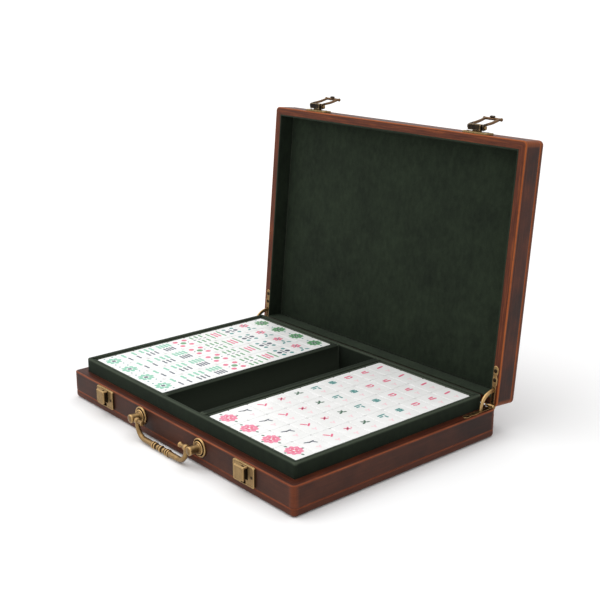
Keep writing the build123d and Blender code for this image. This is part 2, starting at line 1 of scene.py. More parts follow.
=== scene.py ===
import bpy
import bmesh
import json
import numpy as np
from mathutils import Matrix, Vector


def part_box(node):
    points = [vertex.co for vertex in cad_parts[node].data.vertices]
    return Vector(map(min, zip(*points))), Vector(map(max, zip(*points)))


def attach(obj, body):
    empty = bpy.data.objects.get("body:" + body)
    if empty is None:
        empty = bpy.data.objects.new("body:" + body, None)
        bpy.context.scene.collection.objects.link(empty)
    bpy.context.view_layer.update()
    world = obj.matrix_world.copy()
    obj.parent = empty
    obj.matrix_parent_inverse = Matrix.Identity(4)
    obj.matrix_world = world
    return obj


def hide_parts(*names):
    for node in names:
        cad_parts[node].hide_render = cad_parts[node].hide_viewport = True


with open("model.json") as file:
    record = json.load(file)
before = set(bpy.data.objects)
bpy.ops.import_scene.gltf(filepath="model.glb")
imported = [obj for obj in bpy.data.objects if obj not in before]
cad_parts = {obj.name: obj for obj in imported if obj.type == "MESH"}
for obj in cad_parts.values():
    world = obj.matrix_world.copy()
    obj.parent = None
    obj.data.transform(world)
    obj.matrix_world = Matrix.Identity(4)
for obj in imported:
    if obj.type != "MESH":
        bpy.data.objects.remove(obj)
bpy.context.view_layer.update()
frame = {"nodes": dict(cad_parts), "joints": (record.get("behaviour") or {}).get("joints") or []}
print("frame loaded")

# Lengths are in millimetres until a mesh is written. The lid's pieces are shaped as if the case
# were shut, and then turned back about the hinge to the angle at which the lid stands open.


def frameBox(node):  # lowest and highest corner of a CAD node, in millimetres
    return [np.array(corner) * 1000 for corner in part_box(node)]


lidJoint = [joint for joint in frame["joints"] if joint["name"] == "lid_swing"][0]
hinge = np.array(lidJoint["pos_m"]) * 1000
openAngle = np.radians(-lidJoint["range_deg"][0])
halfPlan = frameBox("base_bottom_leather")[1][:2]
rimHeight = frameBox("base_side_leather")[1][2]
frontFace = -halfPlan[1]
sides = {"left": -1, "right": 1}

case = {
    "hide": 1.2,         # thickness of the leather
    "board": 4.0,        # thickness of the top and bottom boards
    "upright": 4.5,      # radius of the upright corners
    "soft": 4.0,         # radius round the bottom and the back of the lid
    "rimGap": 0.4,       # between the two rims when the lid is shut
    "lining": 0.6,       # cloth inside the lid's walls
}
shells = {
    "base": {"depth": rimHeight, "rim": 10.0, "wrap": 8.0},
    "lid": {"depth": 27.0, "rim": 8.8, "wrap": 6.5},
}
lidRim = rimHeight + case["rimGap"]
lidFloor = shells["lid"]["depth"] - case["hide"] - case["board"]


def joined(forms):
    # several forms as one: a form is (points, faces), with its points in millimetres
    points, faces, start = [], [], 0
    for formPoints, formFaces in forms:
        points.append(formPoints)
        faces += [[index + start for index in face] for face in formFaces]
        start += len(formPoints)
    return np.concatenate(points), faces


def gridFaces(rows, columns, closeRows=False):
    # quads between neighbouring rows and columns of points, closed round the columns
    row = np.arange(rows if closeRows else rows - 1)[:, None]
    column = np.arange(columns)[None, :]
    following = (row + 1) % rows
    right = (column + 1) % columns
    corners = [row * columns + column, row * columns + right,
               following * columns + right, following * columns + column]
    return np.stack(np.broadcast_arrays(*corners), -1).reshape(-1, 4).tolist()


def rounded(corners, radii, steps=4):
    # a closed outline with each corner turned into an arc: the arc's centre lies on the bisector,
    # at radius / sin(half the corner's angle) from the corner
    corners = np.asarray(corners, float)
    radii = np.broadcast_to(np.asarray(radii, float), len(corners))[:, None]
    back = np.roll(corners, 1, 0) - corners
    ahead = np.roll(corners, -1, 0) - corners
    back /= np.linalg.norm(back, axis=1, keepdims=True)
    ahead /= np.linalg.norm(ahead, axis=1, keepdims=True)
    half = np.arccos(np.clip((back * ahead).sum(1, keepdims=True), -1, 1)) / 2
    bisector = back + ahead
    bisector /= np.linalg.norm(bisector, axis=1, keepdims=True)
    centre = corners + bisector * radii / np.sin(half)
    first = corners + back * radii / np.tan(half) - centre
    last = corners + ahead * radii / np.tan(half) - centre
    turn = np.pi - 2 * half
    share = np.linspace(0, 1, steps + 1)[None, :, None]
    arc = (np.sin((1 - share) * turn[:, None]) * first[:, None]
           + np.sin(share * turn[:, None]) * last[:, None]) / np.sin(turn[:, None])
    return (centre[:, None] + arc).reshape(-1, 2)


def refined(line, step, closed=True):
    # the same line with its long stretches cut into pieces no longer than step
    following = np.roll(line, -1, 0) if closed else line[1:]
    start = line if closed else line[:-1]
    count = np.maximum(1, np.ceil(np.linalg.norm(following - start, axis=1) / step)).astype(int)
    index = np.repeat(np.arange(len(count)), count)
    share = (np.arange(count.sum()) - np.repeat(np.cumsum(count) - count, count)) / count[index]
    fine = start[index] * (1 - share[:, None]) + following[index] * share[:, None]
    return fine if closed else np.vstack([fine, line[-1:]])


def planColumns(half, radius, cornerSteps, stops):
    # a rounded rectangle as columns: a pair of signs and a direction each, so that a ring at any
    # inset is sign * (half - inset - r) + r * direction; stops are the distances from each corner at
    # which its straight sides have points
    turn = np.linspace(0, 1, cornerSteps + 1)
    corners = np.array([(1, 1), (-1, 1), (-1, -1), (1, -1)], float)
    signs, directions = [], []
    for quarter in range(4):
        near = np.array(stops, float) / (2 * (half[quarter % 2] - radius))
        near = near[near < 0.45]
        side = np.concatenate([near, [0.5], 1 - near[::-1]])
        along = np.concatenate([turn * 0, side])[:, None]
        angle = (quarter + np.concatenate([turn, side * 0 + 1])) * np.pi / 2
        signs.append(corners[quarter] * (1 - along) + corners[(quarter + 1) % 4] * along)
        directions.append(np.stack([np.cos(angle), np.sin(angle)], 1))
    return np.concatenate(signs), np.concatenate(directions)


def stacked(plan, heights, caps=True, closed=False):
    # layers of an outline, each at its height, joined into a skin: caps closes its two ends flat, and
    # closed joins the last layer to the first
    rows, columns = plan.shape[:2]
    levels = np.broadcast_to(heights[:, None, None], (rows, columns, 1))
    faces = gridFaces(rows, columns, closed)
    if caps:
        faces += [list(range(columns))[::-1], list(range((rows - 1) * columns, rows * columns))]
    return np.concatenate([plan, levels], -1).reshape(-1, 3), faces


def ringPlan(half, radius, inset, columns, least):
    # rings of a rounded rectangle at each inset, their corners never tighter than the least radius
    signs, directions = columns
    inset = inset[:, None, None]
    bend = np.maximum(radius - inset, least)
    return signs * (half - inset - bend) + bend * directions


def ringForm(half, radius, profile, cornerSteps, stops, closed=False, centre=(0, 0), least=0.15):
    # a profile of (inset, height) carried round a rounded rectangle; an open one ends in poles at the
    # middle
    inset, heights = np.asarray(profile, float).T
    columns = planColumns(half, radius, cornerSteps, stops)
    plan = ringPlan(half, radius, inset, columns, least) + np.array(centre, float)
    if not closed:
        pole = np.broadcast_to(np.array(centre, float), (1,) + plan.shape[1:])
        plan = np.concatenate([pole, plan, pole])
        heights = np.concatenate([heights[:1], heights, heights[-1:]])
    return stacked(plan, heights, False, closed)


def plateForm(outline, profile):
    # layers of an outline, each one shrunk along its normals by an inset: (inset, height)
    ahead = np.roll(outline, -1, 0) - np.roll(outline, 1, 0)
    inward = np.stack([-ahead[:, 1], ahead[:, 0]], 1)
    inward /= np.linalg.norm(inward, axis=1, keepdims=True)
    inset, heights = np.asarray(profile, float).T
    return stacked(outline[None] + inward[None] * inset[:, None, None], heights)


def spinForm(profile, steps=28):
    # a profile of (radius, height) turned round Z
    radius, heights = np.asarray(profile, float).T
    angle = np.arange(steps) * 2 * np.pi / steps
    ring = np.stack([np.cos(angle), np.sin(angle)], 1)
    return stacked(radius[:, None, None] * ring, heights, False)


def sweepForm(path, section, scale=None):
    # a section of (sideways, across) carried along a flat path of (a, b): the sideways direction is
    # the path's own normal, and the ends are closed by shrinking the section to a point
    path = np.asarray(path, float)
    scale = np.ones(len(path)) if scale is None else np.asarray(scale, float)
    tangent = np.gradient(path, axis=0)
    tangent /= np.linalg.norm(tangent, axis=1, keepdims=True)
    path = np.vstack([path[:1], path, path[-1:]])
    tangent = np.vstack([tangent[:1], tangent, tangent[-1:]])
    scale = np.concatenate([[0], scale, [0]])
    normal = np.stack([-tangent[:, 1], tangent[:, 0]], 1)
    sideways = section[:, 0][None] * scale[:, None]
    flat = path[:, None] + normal[:, None] * sideways[..., None]
    across = section[:, 1][None] * scale[:, None]
    points = np.concatenate([flat, across[..., None]], -1)
    return points.reshape(-1, 3), gridFaces(len(path), len(section))


def screwForm(look):
    # a slotted round head: stations along X, each one a closed loop over the dome and back below,
    # the dome's height being dome * (1 - (distance / radius) squared)
    radius, dome, sink, slot = (look["screw" + part] for part in ("Radius", "Dome", "Sink", "Slot"))
    across = np.array([-1, -0.96, -0.85, -0.6, -0.35, -slot, -slot * 0.95, 0,
                       slot * 0.95, slot, 0.35, 0.6, 0.85, 0.96, 1]) * radius
    reach = np.sqrt(np.maximum(radius ** 2 - across ** 2, 0))
    sweep = np.linspace(-1, 1, 9)
    top = np.stack(np.broadcast_arrays(across[:, None], reach[:, None] * sweep, 0.0), -1)
    distance = (top[..., 0] ** 2 + top[..., 1] ** 2) / radius ** 2
    top[..., 2] = dome * (1 - distance)
    top[..., 2] -= (np.abs(top[..., 0]) < slot * radius * 0.97) * dome * 0.85
    bottom = top[:, ::-1].copy()
    bottom[..., 2] = -sink
    points = np.concatenate([top, bottom], 1)
    return points.reshape(-1, 3), gridFaces(len(across), points.shape[1])


def moved(form, offset=(0, 0, 0), order=(0, 1, 2), flip=(1, 1, 1)):
    # the form with its axes reordered and reversed, then shifted
    points = form[0][:, list(order)] * np.array(flip) + np.array(offset, float)
    return points, form[1]


def onFront(form, x, z):
    # a form that lies flat with its face up, stood on the front with its face outwards
    return moved(form, (x, frontFace, z), (0, 2, 1), (1, -1, 1))


def turned(points, angle, y, z):
    # a turn about a line along X: the pair (y, z) is rotated by the angle
    away = points[:, 1:] - [y, z]
    result = points.copy()
    result[:, 1] = y + away[:, 0] * np.cos(angle) - away[:, 1] * np.sin(angle)
    result[:, 2] = z + away[:, 0] * np.sin(angle) + away[:, 1] * np.cos(angle)
    return result


def opened(form):
    # a form of the shut lid, turned back with it
    return turned(form[0], -openAngle, hinge[1], hinge[2]), form[1]


def shut(points):
    # points of the open lid, back where they are in the shut one
    return turned(points, openAngle, hinge[1], hinge[2])


def inverted(form):
    # the same points with their faces turned round, as a mirror image needs
    return form[0], [face[::-1] for face in form[1]]


def onSide(form, side):
    # a form of the right side, or its mirror image for the left
    return form if side > 0 else inverted((form[0] * [-1, 1, 1], form[1]))


weld = 2e-6  # metres between points that become one


def linked(name, data):
    # a new object of the scene that holds the data
    item = bpy.data.objects.new(name, data)
    bpy.context.scene.collection.objects.link(item)
    return item


def added(name, form):
    # a new object of the scene with the form as its mesh
    mesh = bpy.data.meshes.new(name)
    mesh.from_pydata((form[0] / 1000).tolist(), [], form[1])
    return linked(name, mesh)


def readOut(items, key, width, kind=np.float32):
    # one value of all of a mesh's items, as rows
    values = np.empty(len(items) * width, kind)
    items.foreach_get(key, values)
    return values.reshape(-1, width)


def edgeMark(mesh):
    # how sharply the surface bends at each point: the mean over its edges of the change of the
    # normal along the edge, divided by the edge's length; outside corners are positive
    points = readOut(mesh.vertices, "co", 3) * 1000
    normals = readOut(mesh.vertex_normals, "vector", 3)
    first, last = readOut(mesh.edges, "vertices", 2, np.int32).T
    step, change = points[last] - points[first], normals[last] - normals[first]
    bend = (step * change).sum(1) / np.maximum((step ** 2).sum(1), 1e-6)
    total, weight = np.zeros(len(points)), np.zeros(len(points))
    for end in (first, last):
        np.add.at(total, end, bend)
        np.add.at(weight, end, 1)
    return total / np.maximum(weight, 1)


def makePiece(name, form, material, body, nodes=None, cutters=(), marks=None, sharp=50, fine=0):
    # one piece: it replaces the CAD node that its name starts with unless nodes says otherwise, and marks
    # gives further values at its points for the material
    piece = added(name, form)
    for cutter in cutters:
        carve(piece, cutter)
    mesh = piece.data
    shape = bmesh.new()
    shape.from_mesh(mesh)
    bmesh.ops.remove_doubles(shape, verts=shape.verts, dist=weld)
    bmesh.ops.dissolve_degenerate(shape, edges=shape.edges, dist=1e-6)
    bmesh.ops.recalc_face_normals(shape, faces=shape.faces)
    if fine:  # long edges are halved, so that the wear of an edge doesn't spread over a flat face
        for _ in range(4):
            bmesh.ops.triangulate(shape, faces=shape.faces)
            long = [edge for edge in shape.edges if edge.calc_length() > fine / 1000]
            bmesh.ops.subdivide_edges(shape, edges=long, cuts=1)
        bmesh.ops.triangulate(shape, faces=shape.faces)
    shape.to_mesh(mesh)
    shape.free()
    mesh.shade_smooth()
    mesh.set_sharp_from_angle(angle=np.radians(sharp))
    values = {"edge": edgeMark(mesh)}
    if marks:
        values.update(marks(readOut(mesh.vertices, "co", 3) * 1000))
    for key, value in values.items():
        attribute = mesh.attributes.new(key, "FLOAT", "POINT")
        attribute.data.foreach_set("value", value.astype(np.float32))
    piece.modifiers.new("faces", "WEIGHTED_NORMAL").keep_sharp = True
    mesh.materials.append(material)
    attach(piece, body)
    if nodes is None:
        nodes = [name.split(".")[0]]
    if nodes:
        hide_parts(*nodes)
    return piece


def carve(piece, form):
    # takes the form away from the piece
    cutter = added("cutter", form)
    shape = bmesh.new()
    for item in (cutter, piece):  # both welded and with their faces outwards
        shape.clear()
        shape.from_mesh(item.data)
        bmesh.ops.remove_doubles(shape, verts=shape.verts, dist=weld)
        bmesh.ops.recalc_face_normals(shape, faces=shape.faces)
        shape.to_mesh(item.data)
    shape.free()
    cut = piece.modifiers.new("cut", "BOOLEAN")
    cut.operation, cut.object, cut.solver = "DIFFERENCE", cutter, "EXACT"
    cut.use_self = len(piece.data.polygons) < 4000
    evaluated = piece.evaluated_get(bpy.context.evaluated_depsgraph_get())
    result = bpy.data.meshes.new_from_object(evaluated)
    piece.modifiers.remove(cut)
    piece.data = result
    bpy.data.objects.remove(cutter)


class Flow:
    # a socket that takes part in arithmetic: every operation adds a Math node
    def __init__(self, owner, socket):
        self.owner, self.socket = owner, socket

    def maths(self, operation, first, second):
        return self.owner.node("ShaderNodeMath", {"operation": operation}, {0: first, 1: second})

    def __add__(self, other):
        return self.maths("ADD", self, other)

    def __radd__(self, other):
        return self.maths("ADD", other, self)

    def __sub__(self, other):
        return self.maths("SUBTRACT", self, other)

    def __rsub__(self, other):
        return self.maths("SUBTRACT", other, self)

    def __mul__(self, other):
        return self.maths("MULTIPLY", self, other)

    def ramp(self, low, high):
        # 0 up to low, 1 from high on, straight between
        return self.owner.node("ShaderNodeMapRange", {"clamp": True},
                               {0: self, 1: low, 2: high, 3: 0.0, 4: 1.0})


class Nodes:
    # the node tree of a material or of the world, filled one call at a time
    def __init__(self, holder):
        holder.use_nodes = True
        self.tree = holder.node_tree

    def node(self, kind, settings=None, inputs=None, output=0):
        made = self.tree.nodes.new(kind)
        for key, value in (settings or {}).items():
            setattr(made, key, value)
        for key, value in (inputs or {}).items():
            self.feed(made.inputs[key], value)
        return Flow(self, made.outputs[output])

    def feed(self, socket, value):
        if isinstance(value, Flow):
            self.tree.links.new(value.socket, socket)
        else:
            socket.default_value = value

    def seenRay(self):
        # 1 on the rays of the camera, of mirrors and of glass
        path = self.tree.nodes.new("ShaderNodeLightPath")
        camera, mirror, glass = (Flow(self, path.outputs["Is " + kind + " Ray"])
                                 for kind in ("Camera", "Glossy", "Transmission"))
        return camera.maths("MAXIMUM", camera.maths("MAXIMUM", camera, mirror), glass)

    def shadeBySight(self, unseen, seen, output):
        # one shader for the rays that light the scene and another for the rays that see it
        mix = self.node("ShaderNodeMixShader", {}, {0: self.seenRay(), 1: unseen, 2: seen})
        self.feed(self.tree.nodes[output].inputs["Surface"], mix)


class Paint(Nodes):
    # a material with one principled shader
    def __init__(self, name, **constants):
        self.material = bpy.data.materials.new(name)
        super().__init__(self.material)
        self.shader = self.tree.nodes["Principled BSDF"]
        for key, value in constants.items():
            self.shader.inputs[key.replace("_", " ")].default_value = value

    def where(self, scale=(1, 1, 1)):
        # object coordinates, stretched
        place = self.node("ShaderNodeTexCoord", output="Object")
        return self.node("ShaderNodeMapping", {}, {"Vector": place, "Scale": scale})

    def noise(self, perMetre, detail=3.0, roughness=0.55, stretch=(1, 1, 1)):
        return self.noiseAt(self.where(stretch), perMetre, detail, roughness)

    def noiseAt(self, place, scale, detail, roughness):
        inputs = {"Vector": place, "Scale": scale, "Detail": detail, "Roughness": roughness}
        return self.node("ShaderNodeTexNoise", {}, inputs)

    def drawn(self, across, along):
        # noise drawn out along a hide's strips: fine over the distances from its edges, slow along it
        spot = self.node("ShaderNodeVectorMath", {"operation": "DOT_PRODUCT"},
                         {0: self.where(), 1: (1.0, 1.0, 1.0)}, "Value")
        parts = {0: self.mark("inset") * across, 1: self.mark("down") * across, 2: spot * along}
        return self.noiseAt(self.node("ShaderNodeCombineXYZ", {}, parts), 1.0, 3.0, 0.6)

    def mark(self, name):
        return self.node("ShaderNodeAttribute", {"attribute_name": name}, output="Fac")

    def blend(self, factor, first, second):
        return self.node("ShaderNodeMix", {"data_type": "RGBA"}, {0: factor, 6: first, 7: second}, 2)

    def bump(self, height, depth, strength):
        inputs = {"Height": height, "Distance": depth, "Strength": strength}
        self.feed(self.shader.inputs["Normal"], self.node("ShaderNodeBump", {}, inputs))

    def finish(self, colour, roughness=None, metallic=None):
        values = {"Base Color": colour, "Roughness": roughness, "Metallic": metallic}
        for key, value in values.items():
            if value is not None:
                self.feed(self.shader.inputs[key], value)
        return self.material


def rgb(red, green, blue):
    # a screen colour of 0 to 255 as the linear colour that the shader takes
    value = np.array([red, green, blue]) / 255
    linear = np.where(value <= 0.04045, value / 12.92, ((value + 0.055) / 1.055) ** 2.4)
    return tuple(float(part) for part in linear) + (1.0,)


leatherLook = {
    "face": rgb(77, 41, 27), "dark": rgb(38, 18, 11), "red": rgb(62, 26, 14),
    "burnished": rgb(132, 64, 32), "worn": rgb(174, 104, 66),
}
lidLook = {"face": rgb(88, 42, 24), "red": rgb(92, 44, 24), "burnished": rgb(170, 88, 38)}


def leatherMaterial():
    # brown hide: clouds of darker colour, a darker band with streaks past the seam, mottled on the
    # wide flat back, burnished where a line, a crease or a corner is rubbed, and fine grain
    look = leatherLook
    paint = Paint("brownHide", Specular_IOR_Level=0.16, Coat_Weight=0.04, Coat_Roughness=0.3)
    clouds = paint.noise(16, 4.0, 0.6)
    flat = paint.mark("inset").ramp(9.0, 14.0)
    mottle = paint.noise(42, 5.0, 0.62)
    streaks = paint.drawn(0.55, 26)
    streaks = streaks + (mottle - streaks) * flat
    fine = paint.drawn(2.2, 60)
    pores = paint.noise(900, 2.0, 0.6)
    wrinkles = paint.noise(190, 4.0, 0.62)
    burnish = paint.mark("burnish")
    face, red, burnished = (paint.blend(paint.mark("warm"), look[key], lidLook[key])
                            for key in ("face", "red", "burnished"))
    colour = paint.blend(clouds.ramp(0.35, 0.7), look["dark"], face)
    reddened = paint.mark("red")
    colour = paint.blend(reddened * 0.9, colour, red)
    colour = paint.blend(streaks.ramp(0.52, 0.75) * (reddened * 0.34 + 0.1), colour, burnished)
    gaps = (1.0 - streaks).ramp(0.5, 0.7)
    colour = paint.blend(gaps * (reddened * 0.42 + 0.16), colour, look["dark"])
    colour = paint.blend(paint.mark("band") * (fine.ramp(0.4, 0.62) * 0.6 + 0.22), colour, look["dark"])
    rubbed = burnish * (streaks.ramp(0.25, 0.65) * 0.45 + 0.6)
    colour = paint.blend(rubbed.ramp(0.02, 0.95), colour, burnished)
    colour = paint.blend(rubbed.ramp(0.75, 1.15) * 0.7, colour, look["worn"])
    lines = wrinkles.ramp(0.5, 0.75) * 0.22 + pores.ramp(0.5, 0.75) * 0.14
    colour = paint.blend(lines, colour, look["dark"])
    # painted shade on the back of the rims by the hinges
    colour = paint.blend(paint.mark("hingeShade"), colour, look["dark"])
    paint.bump(pores * 0.45 + wrinkles * 0.55, 0.00016, 0.7)
    return paint.finish(colour, 0.4 + clouds * 0.16 + pores * 0.06)


suedeLook = {"deep": rgb(13, 19, 13), "nap": rgb(40, 50, 36), "worn": rgb(84, 92, 78)}


def suedeMaterial(name, lift=1.0, pale=1.0):
    # short-napped dark green cloth: broad patches where the nap lies the other way, fine fibre, and
    # edges painted paler, partly as wear and partly as painted sheen
    look = suedeLook
    paint = Paint(name, Roughness=0.95, Specular_IOR_Level=0.12, Sheen_Weight=0.07, Sheen_Roughness=0.5,
                  Sheen_Tint=(0.7, 0.82, 0.68, 1.0))
    patches = paint.noise(30, 5.0, 0.62)
    brushed = paint.noise(190, 4.0, 0.62, (1, 1, 0.6))
    fibre = paint.noise(1400, 2.0, 0.7)
    lie = patches.ramp(0.3, 0.75) * 0.4 + brushed.ramp(0.3, 0.75) * 0.4 + fibre.ramp(0.3, 0.7) * 0.2
    colour = paint.blend(lie * (lift + paint.mark("paleWall") * 0.6), look["deep"], look["nap"])
    # edges paler: partly wear, partly painted sheen
    worn = paint.mark("edge").ramp(0.04, 0.4) * (1 - paint.mark("noEdgeWearOrSheen"))
    colour = paint.blend(worn * (0.45 + fibre * 0.4) * pale, colour, look["worn"])
    paint.bump(fibre * 0.7 + brushed * 0.3, 0.00018, 0.55)
    return paint.finish(colour)


brassLook = {
    "antique": {"bright": rgb(214, 176, 120), "plain": rgb(140, 111, 70), "dark": rgb(44, 30, 17)},
    "keeper": {"bright": rgb(206, 172, 120), "plain": rgb(162, 134, 92), "dark": rgb(36, 25, 14)},
    "olive": {"bright": rgb(206, 176, 130), "plain": rgb(122, 100, 60), "dark": rgb(22, 16, 11)},
    "hasp": {"bright": rgb(206, 170, 126), "plain": rgb(112, 84, 56), "dark": rgb(16, 12, 9)},
    "catch": {"bright": rgb(120, 96, 70), "plain": rgb(44, 34, 25), "dark": rgb(12, 9, 7)},
}


def brassMaterial(name, tone, tarnish=0.5, roughness=0.34, stretch=(1, 1, 1), worn=(0.05, 0.8)):
    # antique brass: brown in the hollows, rubbed bright on the edges, cloudy on the faces
    look = brassLook[tone]
    paint = Paint(name, Specular_IOR_Level=0.5)
    clouds = paint.noise(260, 4.0, 0.65)
    brushed = paint.noise(900, 3.0, 0.6, stretch)
    speckle = paint.noise(1500, 3.0, 0.7)
    edge = paint.mark("edge")
    age = (clouds.ramp(0.35, 0.75) * 0.6 + brushed.ramp(0.35, 0.7) * 0.4) * tarnish
    colour = paint.blend(age, look["plain"], look["dark"])
    colour = paint.blend(paint.mark("shade") * (0.7 + clouds * 0.5), colour, look["dark"])
    colour = paint.blend(edge.ramp(*worn) * (0.6 + speckle * 0.4), colour, look["bright"])
    colour = paint.blend((0.0 - edge).ramp(0.05, 0.5), colour, look["dark"])
    # painted shade where the hollow mark is set: pockets, holes, slots and countersinks
    colour = paint.blend(paint.mark("hollow"), colour, look["dark"])
    paint.bump(clouds * 0.5 + brushed * 0.5, 0.00006, 0.6)
    return paint.finish(colour, roughness + clouds * 0.14, 0.92 - age * 0.25)


resinLook = {"dull": rgb(240, 240, 238), "clear": rgb(247, 247, 246)}


def resinMaterial():
    # polished white resin with the faintest warm clouds
    paint = Paint("whiteResin", Specular_IOR_Level=0.5, Coat_Weight=0.15, Coat_Roughness=0.12)
    clouds = paint.noise(90, 3.0, 0.55)
    colour = paint.blend(clouds.ramp(0.3, 0.7), resinLook["dull"], resinLook["clear"])
    paint.bump(paint.noise(420, 2.0, 0.5), 0.00003, 0.35)
    return paint.finish(colour, 0.26 + clouds * 0.1)


inks = {
    "mint": rgb(132, 200, 172), "teal": rgb(52, 138, 134), "green": rgb(84, 152, 98),
    "navy": rgb(48, 62, 84), "pink": rgb(226, 96, 130), "rose": rgb(236, 128, 158),
    "pale": rgb(248, 212, 218), "pine": rgb(52, 96, 72),
}


def inkMaterial(name, colour):
    # printed ink, a little thinner here and there
    paint = Paint(name, Specular_IOR_Level=0.4)
    thin = paint.noise(700, 3.0, 0.6).ramp(0.35, 0.8)
    lighter = tuple(0.7 * part + 0.3 * 0.92 for part in colour[:3]) + (1.0,)
    return paint.finish(paint.blend(thin * 0.5, colour, lighter), 0.34 + thin * 0.15)


boardLook = {"dark": rgb(34, 22, 14), "light": rgb(62, 42, 26)}


def boardMaterial():
    # dark stained board behind the leather and the cloth
    paint = Paint("stainedBoard", Specular_IOR_Level=0.3)
    grain = paint.noise(120, 4.0, 0.6, (0.15, 1, 1))
    paint.bump(grain, 0.0001, 0.5)
    colour = paint.blend(grain.ramp(0.3, 0.7), boardLook["dark"], boardLook["light"])
    return paint.finish(colour, 0.7 + grain * 0.1)


leather = leatherMaterial()
suede = suedeMaterial("greenSuede", 0.6)
suedePanel = suedeMaterial("greenSuedePanel", 1.1)
# a darker copy of the suede: painted shade for the dividers and the pad, deep among the tiles
suedeShadedCopy = suedeMaterial("greenSuedeShaded", 0.4, 0.8)
suedeLining = suedeMaterial("greenSuedeLining", 0.9, 0.15)
brass = brassMaterial("antiqueBrass", "antique", 0.85, 0.27)
keeperBrass = brassMaterial("keeperBrass", "keeper", 0.5, 0.5, (2.5, 2.5, 0.25))
haspBrass = brassMaterial("haspBrass", "hasp", 0.5, 0.36, (1, 1, 1), (0.6, 2.2))
haspPlateBrass = brassMaterial("haspPlateBrass", "olive", 0.5, 0.4, (1, 1, 1), (0.25, 1.3))
catchBrass = brassMaterial("catchBrass", "catch", 0.5, 0.4, (1, 1, 1), (0.6, 2.6))
pinBrass = brassMaterial("pinBrass", "antique", 0.3, 0.3)
darkScrew = brassMaterial("darkScrew", "catch", 0.5, 0.42, (1, 1, 1), (0.4, 2.0))
resin = resinMaterial()
inkLooks = {key: inkMaterial(key + "Ink", colour) for key, colour in inks.items()}
board = boardMaterial()

print("materials made")


hideLook = {
    "fineStep": 0.45,      # spacing of the points across a hide
    "beadWidth": 2.1,      # turned bead along a rim's outer edge
    "beadGroove": 0.28,    # depth of the groove beside it
    "grooveReach": 0.45,
    "faceLine": 0.16,      # depth of the fine line just below the bead, on the upright face
    "faceLineReach": 0.5,
    "creaseSink": 0.22,    # how far the leather dips beside its seam
    "creaseReach": 1.2,
    "borderCrease": 8.0,   # crease on the flat back, in from the edge
    "borderReach": 0.6,
    "hingeShadeFrom": 113.5,   # behind this distance from the middle the rims get painted shade
    "unshadedFrom": 167.5,    # and outside this one the lid's rim has no painted shade
}
# how strongly each place is rubbed or tinted, or painted with shade
rubLook = {
    "seam": 0.8, "upright": 0.5, "nearCorner": 0.36, "softEdge": 0.16, "border": 0.6, "inner": 0.35,
    "band": 0.22, "bandRed": 0.55, "hingeShade": 0.85,
}


def dip(value, centre, width):
    # 1 at the centre, falling off as exp(-(distance / width) squared)
    return np.exp(-((value - centre) / width) ** 2)


def sideHide(shell):
    # section from the rim's inner edge over the rim and down to the seam, as (inset, distance from
    # the rim plane), with a groove beside the bead and a dip beside the seam
    look, hide, seam, rim = hideLook, case["hide"], shell["depth"] - shell["wrap"], shell["rim"]
    corners = [(rim, hide), (rim, 0), (0, 0), (0, seam), (hide - 0.1, seam), (hide - 0.1, hide)]
    line = refined(rounded(corners, [0.1, 0.35, 1.0, 0.4, 0.1, 0.1]), look["fineStep"])
    inset, down = line.T.copy()
    onRim = (down < 0.3) & (inset > 0.9)
    onFace = (inset < 0.3) & (down > 0.9)
    down += onRim * look["beadGroove"] * dip(inset, look["beadWidth"], look["grooveReach"])
    inset += onFace * look["creaseSink"] * dip(down, seam, look["creaseReach"])
    inset += onFace * look["faceLine"] * dip(down, look["beadWidth"] + 0.4, look["faceLineReach"])
    return np.stack([inset, down], 1)


def backHide(shell):
    # section from the middle of the hidden side, round the soft edge, to the middle of the flat back
    look, hide, depth, soft = hideLook, case["hide"], shell["depth"], case["soft"]
    seam, far = depth - shell["wrap"], 15.0
    corners = [(far, depth - hide + 0.1), (hide - 0.1, depth - hide + 0.1), (hide - 0.1, seam),
               (0, seam), (0, depth), (far, depth)]
    radii = [0.01, soft - hide, 0.1, 0.4, soft, 0.01]
    line = np.vstack([corners[:1], rounded(corners, radii, 8)[9:-9], corners[-1:]])
    line = refined(line, look["fineStep"], False)
    inset, down = line.T.copy()
    onFace = (inset < 0.3) & (down < depth - soft)
    onBack = (down > depth - 0.2) & (inset > soft)
    inset += onFace * look["creaseSink"] * dip(down, seam, look["creaseReach"])
    down -= onBack * look["creaseSink"] * 1.3 * dip(inset, look["borderCrease"], look["borderReach"])
    return np.stack([inset, down], 1)


